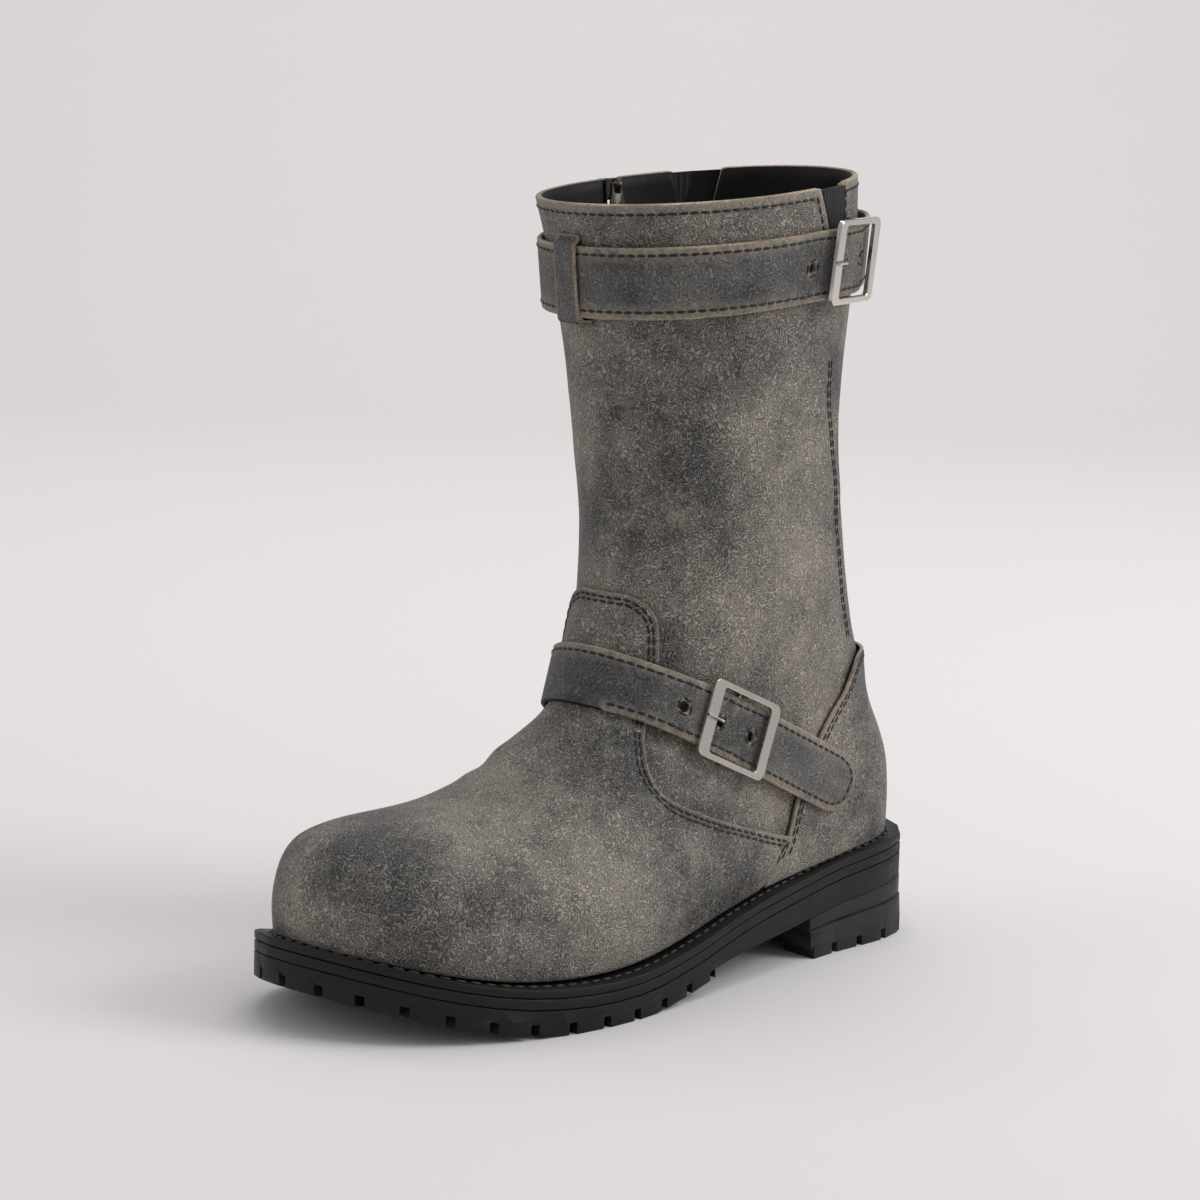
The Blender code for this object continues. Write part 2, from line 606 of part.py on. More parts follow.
def build_upper():
    rows = [upper_row(number) for number in SECTION_ROWS]
    points = np.vstack(rows)
    normals = outward(points)
    sunk = np.zeros(len(points))
    for r in range(STEP_FROM, len(rows)):
        for c in range(REAR.start, REAR.stop + 1):
            sunk[r*COLUMNS + c] = SEAM_STEP
    points = points - normals*sunk[:, None]
    gore = [(r, c) for r in range(GORE_FROM, len(rows) - 1) for c in (*OUTER_GORE, *INNER_GORE)]
    slot = [(r, ZIP_CELL) for r in range(ZIP_FROM, len(rows) - 1)]
    mesh = mesh_of(points, grid_faces(len(rows), COLUMNS, closed=True, skip=set(gore + slot)))
    drop_loose(mesh)
    obj = add_object("upper", mesh, LEATHER)
    solidify(obj, UPPER_WALL, -1)
    smooth_shading(obj)


def vamp_ends(number, loop):
    """Runs on a section where the vamp's edge crosses it, outer side and inner side."""
    if number >= TONGUE[0][0]:
        half = TONGUE_HALF*tongue_half(number)
        return half, -half
    butt = counter_edge(number) + OVERLAY_BUTT/SOLE_LENGTH
    station = butt if number < VAMP[0][0] else max(butt, vamp_edge(number))
    return run_at(loop, station, True), run_at(loop, station, False) - runs(loop)[-1]


def counter_ends(number, loop):
    station = counter_edge(number)
    return run_at(loop, station, True), run_at(loop, station, False)


def band_between(numbers, ends, columns):
    """Rows of points on the sections, between the ends of each."""
    rows = []
    for number in numbers:
        loop = leather_section(number)
        outer, inner = ends(number, loop)
        rows.append(along(loop, inner, outer, columns) if inner < outer else along(loop, outer, inner, columns))
    return rows


VAMP_COLUMNS, COUNTER_COLUMNS = 23, 19
OVERLAY_FROM = 0.22          # section where the overlays start, clear of the welt


def build_overlays():
    vamp_rows = [OVERLAY_FROM, 0.9, 1.8] + [row[0] for row in VAMP + TONGUE]
    patch("vamp", band_between(vamp_rows, vamp_ends, VAMP_COLUMNS), OVERLAY_LEATHER, OVERLAY_WALL,
          OVERLAY_LIFT)
    counter_rows = [OVERLAY_FROM] + [row[0] for row in COUNTER[1:]]
    patch("counter", band_between(counter_rows, counter_ends, COUNTER_COLUMNS), OVERLAY_LEATHER, OVERLAY_WALL,
          OVERLAY_LIFT)


build_upper()
build_overlays()


# Sole: lofted layers between the outer and the inner half of its edge
def edge_loop(reduce_by=0.0, points=SOLE_POINTS):
    loop = resample(EDGE, points, closed=True)
    return inset(loop, reduce_by) if reduce_by else loop


def paired_plate(name, loop, top, bottom, mat, flare=0.0):
    """A plate with the outline's points paired side to side; top and bottom give z against y."""
    n = len(loop)
    centre = loop.mean(axis=0)
    spread = (loop - centre)/np.linalg.norm(loop - centre, axis=1)[:, None]
    low = loop + spread*flare
    points = np.vstack([np.column_stack([loop, top(loop[:, 1])]), np.column_stack([low, bottom(loop[:, 1])])])
    faces = []
    for i in range(n):
        j = (i + 1) % n
        faces.append((i, j, n + j, n + i))
    half = n//2
    for i in range(half):
        a, b, c, d = i, i + 1, (n - i - 1) % n, (n - i) % n
        top_face = [a, d, c, b]
        unique = [v for k, v in enumerate(top_face) if v not in top_face[:k]]
        faces.append(unique)
        faces.append([n + v for v in reversed(unique)])
    mesh = mesh_of(points, faces)
    fix_normals(mesh)
    obj = add_object(name, mesh, mat)
    smooth_shading(obj)
    return obj


def fix_normals(mesh):
    bm = bmesh.new()
    bm.from_mesh(mesh)
    bmesh.ops.recalc_face_normals(bm, faces=bm.faces)
    bm.to_mesh(mesh)
    bm.free()


def welt_top(y):
    return seat(y)


def midsole_top(y):
    return seat(y) - WELT_THICK - SEAT_GAP


def outsole_top(y):
    return midsole_top(y) - MIDSOLE_THICK - SEAT_GAP


def waist_mix(y):
    """0 under the ball, 1 at the heel's breast and behind it."""
    t = np.clip((0.56 - station_of(y))/0.28, 0, 1)
    return t*t*(3 - 2*t)


def tread(y):
    """Where the lugs end: flat at the ball, up at the toe."""
    return np.maximum(seat(y) - BALL_SEAT, 0)


def outsole_base(y):
    """Underside of the outsole sheet, between the lugs and at the waist."""
    return (tread(y) + LUG_HEIGHT)*(1 - waist_mix(y)) + (seat(y) - WAIST_DROP)*waist_mix(y)


BREAST_Y = MID_Y - HEEL_LENGTH


def heel_loop(reduce_by, count):
    """The edge behind the heel's breast, outer breast corner round the back to the inner one."""
    loop = inset(resample(EDGE, 200, closed=True), reduce_by)
    back = int(np.argmax(loop[:, 1]))
    loop = np.roll(loop, -back, axis=0)
    outer = [p for p in loop[:100] if p[1] > BREAST_Y]
    inner = [p for p in loop[100:] if p[1] > BREAST_Y]

    def corner(x):
        return np.array([x, BREAST_Y])
    line = np.vstack([corner(outer[-1][0]), np.array(outer[::-1]), np.array(inner[::-1]), corner(inner[0][0])])
    return resample(line, count, closed=False)


def build_sole():
    outer, inner = edge_loop(), edge_loop(WELT_REACH)
    n = len(outer)
    points = np.vstack([np.column_stack([loop, z(loop[:, 1])]) for loop, z in (
        (outer, welt_top), (inner, welt_top), (inner, lambda y: welt_top(y) - WELT_THICK),
        (outer, lambda y: welt_top(y) - WELT_THICK))])
    faces = []
    for ring in range(4):
        for i in range(n):
            j, after = (i + 1) % n, (ring + 1) % 4
            faces.append((ring*n + i, ring*n + j, after*n + j, after*n + i))
    mesh = mesh_of(points, faces)
    fix_normals(mesh)
    smooth_shading(add_object("welt", mesh, WELT_RUBBER))
    paired_plate("midsole", edge_loop(), midsole_top, lambda y: midsole_top(y) - MIDSOLE_THICK, RUBBER)
    insole_edge = WELT_MARGIN + UPPER_WALL + TUCK*BALL_WIDTH/2 + INSOLE_GAP
    paired_plate("insole", edge_loop(insole_edge), lambda y: seat(y) + SEAT_GAP + INSOLE_THICK,
                 lambda y: seat(y) + SEAT_GAP, INSOLE_FOAM)


build_sole()


def joined(name, pieces, mat):
    """One body out of overlapping closed pieces; the first one keeps the name."""
    body = pieces[0]
    body.name = name
    for piece in pieces[1:]:
        union = body.modifiers.new("join", "BOOLEAN")
        union.operation = "UNION"
        union.solver = "EXACT"
        union.use_self = True
        union.object = piece
        piece.hide_render = True
        piece.display_type = "WIRE"
        for group in list(piece.users_collection):
            group.objects.unlink(piece)
        cutters.objects.link(piece)
    body.data.materials.clear()
    body.data.materials.append(mat)
    return body


def prism(outline, low, high):
    """A closed block over an outline in the plane; low and high are heights, or one for each corner."""
    n = len(outline)
    low, high = np.broadcast_to(low, n), np.broadcast_to(high, n)
    points = [(x, y, z) for level in (low, high) for (x, y), z in zip(outline, level)]
    sides = [(i, (i + 1) % n, n + (i + 1) % n, n + i) for i in range(n)]
    faces = [tuple(range(n)), tuple(range(n, 2*n))] + sides
    mesh = mesh_of(points, faces)
    fix_normals(mesh)
    return mesh


def merged(meshes):
    """Several separate blocks in one mesh."""
    bm = bmesh.new()
    for mesh in meshes:
        bm.from_mesh(mesh)
        bpy.data.meshes.remove(mesh)
    mesh = bpy.data.meshes.new("mesh")
    bm.to_mesh(mesh)
    bm.free()
    return mesh


def edge_lugs(loop, centre_of, floor_of, base):
    """Blocks along an open outline, with a notch between neighbours, from floor_of up into base."""
    run = np.concatenate([[0], np.cumsum(np.linalg.norm(np.diff(loop, axis=0), axis=1))])
    count = max(3, round(run[-1]/LUG_PITCH))
    pitch = run[-1]/count
    blocks = []
    for i in range(count):
        at = np.array([i*pitch + LUG_NOTCH/2, (i + 1)*pitch - LUG_NOTCH/2])
        outer = np.column_stack([np.interp(at, run, loop[:, k]) for k in (0, 1)])
        aim = centre_of(outer.mean(axis=0)) - outer.mean(axis=0)
        aim /= np.linalg.norm(aim)
        along_edge = (outer[1] - outer[0])/np.linalg.norm(outer[1] - outer[0])
        taper = along_edge*LUG_NOTCH*0.5
        inner = outer + aim*LUG_DEPTH
        outline = np.array([outer[0], outer[1], inner[1] - taper, inner[0] + taper])
        y = outline[:, 1]
        blocks.append(prism(outline, floor_of(y), base(y) + LUG_OVERLAP))
    return blocks


def build_outsole():
    loop = edge_loop()
    sheet = paired_plate("outsole", loop, outsole_top, outsole_base, RUBBER)
    dense = resample(EDGE, 240, closed=True)
    ahead = dense[station_of(dense[:, 1]) > LUGS_FROM]
    start = int(np.argmax(np.linalg.norm(np.diff(ahead, axis=0), axis=1)))
    ahead = np.roll(ahead, -start - 1, axis=0)

    def middle(p):
        y = np.clip(p[1], y_of(0.86), y_of(LUGS_FROM))
        at = np.abs(dense[:, 1] - y) < 0.004
        return np.array([dense[at, 0].mean(), y])
    blocks = edge_lugs(ahead, middle, tread, outsole_base)
    for station in CROSS_LUGS:
        y = y_of(station)
        centre = middle((0, y))[0]
        outline = np.array([(centre + dx*CROSS_LUG_WIDTH/2, y + dy*CROSS_LUG_LENGTH/2)
                            for dx, dy in ((-1, -0.5), (0, -1), (1, -0.5), (1, 0.5), (0, 1), (-1, 0.5))])
        blocks.append(prism(outline, tread(outline[:, 1]), outsole_base(outline[:, 1]) + LUG_OVERLAP))
    lugs = add_object("outsole_lugs", merged(blocks), RUBBER, cutters)
    joined("outsole", [sheet, lugs], RUBBER)


def heel_top(y):
    return outsole_base(y) - SEAT_GAP


def build_heel():
    """The heel block: an upper lift, a step line, a lower lift and lugs under it."""
    levels = (
        # inset, height share between the block's underside and its top
        (0.0006, 1.0), (0.0, 0.97), (0.0, 0.62), (HEEL_STEP, 0.60), (HEEL_STEP, 0.57), (-HEEL_FLARE*0.4, 0.55),
        (-HEEL_FLARE, 0.0))
    n = HEEL_POINTS
    points = []
    for reduce_by, share in levels:
        loop = heel_loop(reduce_by, n)
        points.append(np.column_stack([loop, LUG_HEIGHT + (heel_top(loop[:, 1]) - LUG_HEIGHT)*share]))
    points = np.vstack(points)
    faces = grid_faces(len(levels), n, closed=True)
    for level in (0, len(levels) - 1):
        for i in range(n//2):
            quad = [level*n + k for k in (i, i + 1, n - 2 - i, n - 1 - i)]
            faces.append([v for k, v in enumerate(quad) if v not in quad[:k]])
    mesh = mesh_of(points, faces)
    fix_normals(mesh)
    block = add_object("heel", mesh, RUBBER)
    loop = heel_loop(-HEEL_FLARE, 90)

    def middle(p):
        return np.array([0.0, min(p[1], MID_Y - HEEL_WIDTH/2)])
    lugs = edge_lugs(loop, middle, np.zeros_like, lambda y: np.full(np.shape(y), LUG_HEIGHT))
    joined("heel", [block, add_object("heel_lugs", merged(lugs), RUBBER, cutters)], RUBBER)
    smooth_shading(block)


build_outsole()
build_heel()


# Straps: bands between two sections that follow the collar or slope over the instep
RIM_FRONT_Y, RIM_BACK_Y = y_of(SECTIONS[-1][0]), y_of(SECTIONS[-1][2])


def rim(y):
    return COLLAR_FRONT + (COLLAR_BACK - COLLAR_FRONT)*(y - RIM_FRONT_Y)/(RIM_BACK_Y - RIM_FRONT_Y)


def top_line(across):
    """Section of the shaft a given way above the top strap's middle line."""
    drop = TOP_STRAP_DROP + TOP_STRAP_WIDTH/2
    return girdle(RIM_FRONT_Y, RIM_BACK_Y, lambda y: rim(y) - drop + across)


def ankle_line(across):
    rise = across*math.hypot(1, ANKLE_STRAP_SLOPE)
    return girdle(y_of(0.54), y_of(0.03), lambda y: ANKLE_STRAP_RISE + rise + ANKLE_STRAP_SLOPE*y)


def eased(share):
    share = np.clip(share, 0, 1)
    return share*share*(3 - 2*share)


class Strap:
    """A strap's line on the leather: its sections, where it starts and ends, and its buckle."""

    def __init__(self, line, width, lifts, start, end, slant, buckle):
        self.line, self.width, self.slant = line, width, slant
        self.lift, self.front_lift, self.buckle_lift, self.flare = lifts
        self.middle = line(0.0)
        total = runs(self.middle)[-1]
        self.start = run_at(self.middle, start, False) - total
        self.end = run_at(self.middle, end[0], end[1])
        self.buckle = run_at(self.middle, buckle, True)

    def lift_at(self, run):
        """The strap stands off more over the shin and where it rides over its buckle's centre bar."""
        front = eased((FRONT_LIFT[0]*SOLE_LENGTH - np.abs(run))/(FRONT_LIFT[1]*SOLE_LENGTH))
        bar = eased((BAR_LIFT[0]*BUCKLE_LENGTH - np.abs(run - self.buckle))/(BAR_LIFT[1]*BUCKLE_LENGTH))
        return self.lift + (self.front_lift - self.lift)*front + (self.buckle_lift - self.lift)*bar

    def flare_at(self, run):
        return self.flare*eased((FLARE_REACH[0]*SHAFT_DEPTH - np.abs(run))/(FLARE_REACH[1]*SHAFT_DEPTH))

    def point(self, run):
        return along(self.middle, run, run, 1)[0]

    def frame(self, run, half=0.008):
        """Matrix at a run: x along the strap to its tail, y across it and up, z out of the leather."""
        before, after = self.point(run - half), self.point(run + half)
        x = (after - before)/np.linalg.norm(after - before)
        z = outward(self.point(run)[None])[0]
        z = z - x*(x @ z)
        z /= np.linalg.norm(z)
        y = np.cross(z, x)
        matrix = Matrix.Identity(4)
        for i, axis in enumerate((x, y, z, self.point(run))):
            for k in range(3):
                matrix[k][i] = axis[k]
        return matrix


def cylinder(name, radius, length, sides, collection=None):
    mesh = bpy.data.meshes.new("mesh")
    bm = bmesh.new()
    bmesh.ops.create_cone(bm, cap_ends=True, segments=sides, radius1=radius, radius2=radius, depth=length)
    bm.to_mesh(mesh)
    bm.free()
    return add_object(name, mesh, NICKEL, collection)


def block(name, size, centre, mat, collection=None, edge=0.0):
    mesh = bpy.data.meshes.new("mesh")
    bm = bmesh.new()
    bmesh.ops.create_cube(bm, size=1.0)
    bmesh.ops.scale(bm, vec=size, verts=bm.verts)
    if edge:
        bmesh.ops.bevel(bm, geom=bm.edges[:], offset=edge, segments=1, affect="EDGES")
    bmesh.ops.translate(bm, vec=centre, verts=bm.verts)
    bm.to_mesh(mesh)
    bm.free()
    return add_object(name, mesh, mat, collection)


def from_curve(name, curve, mat, collection=None):
    """A curve's evaluated shape as a closed mesh object."""
    holder = bpy.data.objects.new(name, curve)
    bpy.context.scene.collection.objects.link(holder)
    graph = bpy.context.evaluated_depsgraph_get()
    mesh = bpy.data.meshes.new_from_object(holder.evaluated_get(graph))
    bpy.data.objects.remove(holder, do_unlink=True)
    bm = bmesh.new()
    bm.from_mesh(mesh)
    bmesh.ops.remove_doubles(bm, verts=bm.verts, dist=1e-6)
    bmesh.ops.recalc_face_normals(bm, faces=bm.faces)
    bm.to_mesh(mesh)
    bm.free()
    return add_object(name, mesh, mat, collection)


def flat_plate(name, outlines, thickness, mat, edge, collection=None):
    """A plate from flat outlines, the first one its rim and the others its holes."""
    curve = bpy.data.curves.new(name, "CURVE")
    curve.dimensions = "2D"
    curve.fill_mode = "BOTH"
    curve.extrude = thickness/2 - edge
    curve.bevel_depth = edge
    curve.bevel_resolution = 0
    curve.offset = -edge
    for outline in outlines:
        spline = curve.splines.new("POLY")
        spline.points.add(len(outline) - 1)
        for point, (x, y) in zip(spline.points, outline):
            point.co = (x, y, 0, 1)
        spline.use_cyclic_u = True
    return from_curve(name, curve, mat, collection)


def wire(name, points, radius, mat, collection=None):
    curve = bpy.data.curves.new(name, "CURVE")
    curve.dimensions = "3D"
    curve.bevel_depth = radius
    curve.bevel_resolution = 1
    curve.use_fill_caps = True
    spline = curve.splines.new("POLY")
    spline.points.add(len(points) - 1)
    for point, co in zip(spline.points, points):
        point.co = (*co, 1)
    return from_curve(name, curve, mat, collection)


def rounded_box(left, right, low, high, corner, steps=3):
    """Outline of a rectangle with round corners."""
    out = []
    for cx, cy, turn in ((right - corner, high - corner, 0), (left + corner, high - corner, 90),
                         (left + corner, low + corner, 180), (right - corner, low + corner, 270)):
        for i in range(steps + 1):
            a = math.radians(turn + 90*i/steps)
            out.append((cx + corner*math.cos(a), cy + corner*math.sin(a)))
    return out


def cut(obj, cutter):
    difference = obj.modifiers.new("hole", "BOOLEAN")
    difference.operation = "DIFFERENCE"
    difference.solver = "EXACT"
    difference.object = cutter
    cutter.hide_render = True
    cutter.display_type = "WIRE"


def build_strap(name, strap, columns):
    """The strap as one band, with a trimmed tip and the holes for the prong."""
    runs_along = np.concatenate([np.linspace(strap.start, strap.end - STRAP_TIP, columns),
                                 strap.end - STRAP_TIP*np.array(TIP_RUNS)])
    share = np.concatenate([np.ones(columns - 1), TIP_WIDTHS])
    low, high = strap.line(-strap.width/2), strap.line(strap.width/2)
    middle_total = runs(strap.middle)[-1]
    rows = []
    for loop, side in ((low, -1), (high, 1)):
        scale = runs(loop)[-1]/middle_total
        at = runs_along*scale + side*strap.slant*np.linspace(-1, 1, len(runs_along))
        rows.append(np.array([along(loop, run, run, 1)[0] for run in at]))
    centre = (rows[0] + rows[1])/2
    rows = [centre + (row - centre)*share[:, None] for row in rows]
    lift = strap.lift_at(runs_along) + np.outer((1, 0), strap.flare_at(runs_along))
    band = patch(name, rows, STRAP_LEATHER, STRAP_WALL, lift)
    for k in (-1, 0, 1):
        run = strap.buckle - PRONG_HOLE + k*HOLE_PITCH
        cutter = cylinder(name + "_hole_%d" % (k + 1), HOLE_RADIUS, 0.014, 8, cutters)
        cutter.matrix_local = strap.frame(run) @ Matrix.Translation((0, 0, strap.lift))
        cut(band, cutter)


def bulge(strap, place):
    """How far the leather under the buckle rises over the buckle's middle."""
    back = np.array(place.inverted())
    heights = []
    for across in (-strap.width/2, 0.0, strap.width/2):
        loop = strap.line(across)
        scale = runs(loop)[-1]/runs(strap.middle)[-1]
        points = along(loop, (strap.buckle - BUCKLE_LENGTH/2)*scale, (strap.buckle + BUCKLE_LENGTH/2)*scale, 9)
        heights.append(points @ back[2, :3] + back[2, 3])
    return float(np.max(heights))


def build_buckle(prefix, strap, bar_rise, frame_rise, turn):
    """Frame and prong; the rises are heights over the highest leather under the buckle."""
    place = strap.frame(strap.buckle) @ Matrix.Rotation(turn, 4, "Z")
    leather = bulge(strap, place)
    bar_height, level = leather + bar_rise, leather + frame_rise
    half = strap.width/2 + BUCKLE_SIDE_GAP
    outer = half + BUCKLE_RAIL
    end = BUCKLE_LENGTH/2
    frame = flat_plate(prefix + "_buckle", [
        rounded_box(-end, end, -outer, outer, BUCKLE_CORNER),
        rounded_box(-end + BUCKLE_FLAT_BAR, end - BUCKLE_ROUND_BAR, -half, half, BUCKLE_CORNER*0.4, 2)],
        BUCKLE_THICK, NICKEL, BUCKLE_EDGE)
    middle = level + BUCKLE_THICK/2
    frame.data.transform(Matrix.Translation((0, 0, middle)))
    ear_low = bar_height - CENTRE_BAR_RADIUS*0.4
    pieces = [frame]
    for side in (-1, 1):
        pieces.append(block(prefix + "_ear", (BUCKLE_EAR, BUCKLE_RAIL*EAR_WIDTH, middle - ear_low),
                            (0, side*(half + BUCKLE_RAIL/2), (middle + ear_low)/2), NICKEL, cutters))
    bar = cylinder(prefix + "_bar", CENTRE_BAR_RADIUS, 2*half + BUCKLE_RAIL, 8, cutters)
    bar.data.transform(Matrix.Translation((0, 0, bar_height)) @ Matrix.Rotation(math.pi/2, 4, "X"))
    pieces.append(bar)
    for piece in pieces:
        piece.matrix_local = place
    joined(prefix + "_buckle", pieces, NICKEL)
    smooth_shading(frame)
    over = level + BUCKLE_THICK + SEAT_GAP + PRONG_RADIUS
    climb = over - bar_height
    prong = wire(prefix + "_prong", [
        (-CENTRE_BAR_RADIUS - PRONG_RADIUS - PRONG_BAR_GAP, 0, bar_height), (-PRONG_HOLE*0.734, 0, bar_height),
        (-PRONG_HOLE*0.911, 0, bar_height + 0.22*climb), (-PRONG_HOLE*1.089, 0, bar_height + 0.78*climb),
        (-PRONG_HOLE*1.266, 0, over - PRONG_RADIUS*0.28), (-PRONG_HOLE*1.494, 0, over),
        (-end - PRONG_PAST_BAR, 0, over)], PRONG_RADIUS, NICKEL)
    prong.matrix_local = place
    smooth_shading(prong)


def build_keeper(name, strap, run, width):
    """A leather loop over the strap, sewn down above and below it."""
    side = strap.width/2 + KEEPER_SIDE_GAP
    over = float(strap.lift_at(run)) + STRAP_WALL + KEEPER_GAP
    below = over + float(strap.flare_at(run))
    rows, lifts = [], []
    for across, lift in ((-side - KEEPER_FOOT, SEAT_GAP), (-side - KEEPER_BEND, SEAT_GAP), (-side, below),
                         (side, over), (side + KEEPER_BEND, SEAT_GAP), (side + KEEPER_FOOT, SEAT_GAP)):
        loop = strap.line(across)
        scale = runs(loop)[-1]/runs(strap.middle)[-1]
        rows.append(along(loop, (run - width/2)*scale, (run + width/2)*scale, 3))
        lifts.append(np.full(3, lift))
    grid = np.array(rows)
    points = grid.reshape(-1, 3)
    bend = np.linalg.norm(grid[:, 0] - 2*grid[:, 1] + grid[:, 2], axis=1).max()/FACET_SHARE
    points = points + outward(points)*(np.concatenate(lifts) + bend)[:, None]
    keeper = add_object(name, mesh_of(points, grid_faces(6, 3)), STRAP_LEATHER)
    solidify(keeper, KEEPER_WALL, 1)
    smooth_shading(keeper)


TOP_STRAP = Strap(top_line, TOP_STRAP_WIDTH, (TOP_STRAP_LIFT, TOP_STRAP_LIFT, CENTRE_BAR_LIFT, TOP_STRAP_FLARE),
                  0.365, (0.22, False), 0.0, 0.268)
ANKLE_STRAP = Strap(ankle_line, ANKLE_STRAP_WIDTH, (ANKLE_STRAP_LIFT, TONGUE_STRAP_LIFT, ANKLE_STRAP_LIFT, 0.0),
                    0.372, (0.172, True), 0.004, 0.403)


def build_straps():
    build_strap("collar_strap", TOP_STRAP, 40)
    build_strap("ankle_strap", ANKLE_STRAP, 34)
    build_buckle("collar", TOP_STRAP, COLLAR_BAR_HEIGHT, COLLAR_FRAME_HEIGHT, COLLAR_BUCKLE_TURN)
    build_buckle("ankle", ANKLE_STRAP, ANKLE_BAR_HEIGHT, ANKLE_FRAME_HEIGHT, 0.0)
    build_keeper("collar_keeper", TOP_STRAP, KEEPER_RUN, KEEPER_WIDTH)


# Elastic gores, zip chain, slider and pull
def build_gore(name, columns, outer):
    rows = []
    front, back = (seam_columns[k] for k in columns)
    for number in (GORE_FROM + 0.1, GORE_FROM + 0.5, GORE_FROM + 1, len(SECTIONS) - 1.05):
        loop = leather_section(number)
        a, b = run_at(loop, front(number), outer), run_at(loop, back(number), outer)
        gap = math.copysign(ZIP_SIDE_GAP, b - a)
        rows.append(along(loop, a + gap, b - gap, 3) if a < b else along(loop, b - gap, a + gap, 3))
    patch(name, rows, ELASTIC, GORE_WALL, -SEAM_STEP - GORE_WALL - SEAT_GAP)


def slider_frame():
    """At the zip below the rim: x along the leather, y up the zip, z out of the leather."""
    number = len(SECTIONS) - 1
    station = seam_columns[4](number)
    loop = leather_section(number)
    total = runs(loop)[-1]
    top = along(loop, run_at(loop, station, False), total, 2)[0]
    lower = leather_section(number - 0.6)
    foot = along(lower, run_at(lower, seam_columns[4](number - 0.6), False), total, 2)[0]
    y = (top - foot)/np.linalg.norm(top - foot)
    place = top - y*SLIDER_BELOW_RIM
    z = outward(place[None])[0]
    z = z - y*(y @ z)
    z /= np.linalg.norm(z)
    x = np.cross(y, z)
    matrix = Matrix.Identity(4)
    for i, axis in enumerate((x, y, z, place)):
        for k in range(3):
            matrix[k][i] = axis[k]
    return matrix


def chain_end(slider):
    """The section at which the chain stops under its slider."""
    foot = (slider @ Vector((0, -SLIDER_HEIGHT/2 - CHAIN_GAP, 0))).z
    numbers = np.linspace(len(SECTIONS) - 3, len(SECTIONS) - 1, 41)
    heights = []
    for number in numbers:
        loop = leather_section(number)
        at = run_at(loop, seam_columns[4](number), False)
        heights.append(along(loop, at, at, 1)[0][2])
    return float(np.interp(foot, heights, numbers))


def build_zip():
    rows = []
    zip_half = (ZIP_SLOT/2 - ZIP_SIDE_GAP)
    slider = slider_frame()
    end = chain_end(slider)
    between = [n for n in range(ZIP_FROM + 1, len(SECTIONS)) if n < end - 0.3]
    for number in [ZIP_FROM + CHAIN_FOOT] + between + [end]:
        loop = leather_section(number)
        middle = run_at(loop, seam_columns[4](number), False)
        rows.append(along(loop, middle - zip_half, middle + zip_half, 2))
    patch("zip_chain", rows, GUNMETAL, ZIP_CHAIN_THICK, -ZIP_CHAIN_THICK - SEAT_GAP)

    outer_z = SLIDER_GAP + SLIDER_PLATE/2
    inner_z = -UPPER_WALL - SLIDER_GAP - SLIDER_PLATE/2
    plate = (SLIDER_WIDTH, SLIDER_HEIGHT, SLIDER_PLATE)
    pieces = [
        block("zip_slider", plate, (0, 0, outer_z), GUNMETAL, None, SLIDER_EDGE),
        block("slider_inner", plate, (0, 0, inner_z), GUNMETAL, cutters, SLIDER_EDGE),
        block("slider_core", (SLIDER_CORE, SLIDER_HEIGHT*0.72, outer_z - inner_z),
              (0, 0, (outer_z + inner_z)/2), GUNMETAL, cutters)]
    face = inner_z - SLIDER_PLATE/2
    hinge_z = face - PULL_OFF_PLATE
    arc = [(0, BAIL_RISE + BAIL_RADIUS*math.sin(a), hinge_z - BAIL_RADIUS*math.cos(a))
           for a in np.linspace(-math.pi/2, math.pi/2, 7)]
    inside = face + SLIDER_PLATE/2
    ends = [(0, BAIL_RISE + side*BAIL_RADIUS, inside) for side in (-1, 1)]
    pieces.append(wire("slider_bail", ends[:1] + arc + ends[1:], BAIL_WIRE, GUNMETAL, cutters))
    for piece in pieces:
        piece.matrix_local = slider
    joined("zip_slider", pieces, GUNMETAL)

    bar, wide, long = PULL_BAR/2, PULL_WIDTH/2, PULL_LENGTH
    outline = [(-wide*0.68, bar), (-wide*0.74, -long*0.2), (-wide, -long*0.5), (-wide*0.42, bar - long),
               (wide*0.42, bar - long), (wide, -long*0.5), (wide*0.74, -long*0.2), (wide*0.68, bar)]
    eye = [(-PULL_EYE_WIDTH/2, -bar), (-PULL_EYE_WIDTH/2, -bar - PULL_EYE_LENGTH),
           (PULL_EYE_WIDTH/2, -bar - PULL_EYE_LENGTH), (PULL_EYE_WIDTH/2, -bar)]
    pull = flat_plate("zip_pull", [outline, eye], PULL_THICK, GUNMETAL, 0.0002)
    pull.matrix_local = slider @ Matrix.Translation((0, BAIL_RISE, hinge_z))


build_straps()
build_gore("gore_outer", (0, 1), True)
build_gore("gore_inner", (2, 3), False)
build_zip()
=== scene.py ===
# Left engineer boot: distressed leather, stitching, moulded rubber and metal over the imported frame
import math
import random

import bpy
import bmesh
from mathutils import Matrix, Vector
from mathutils.bvhtree import BVHTree
from mathutils.kdtree import KDTree


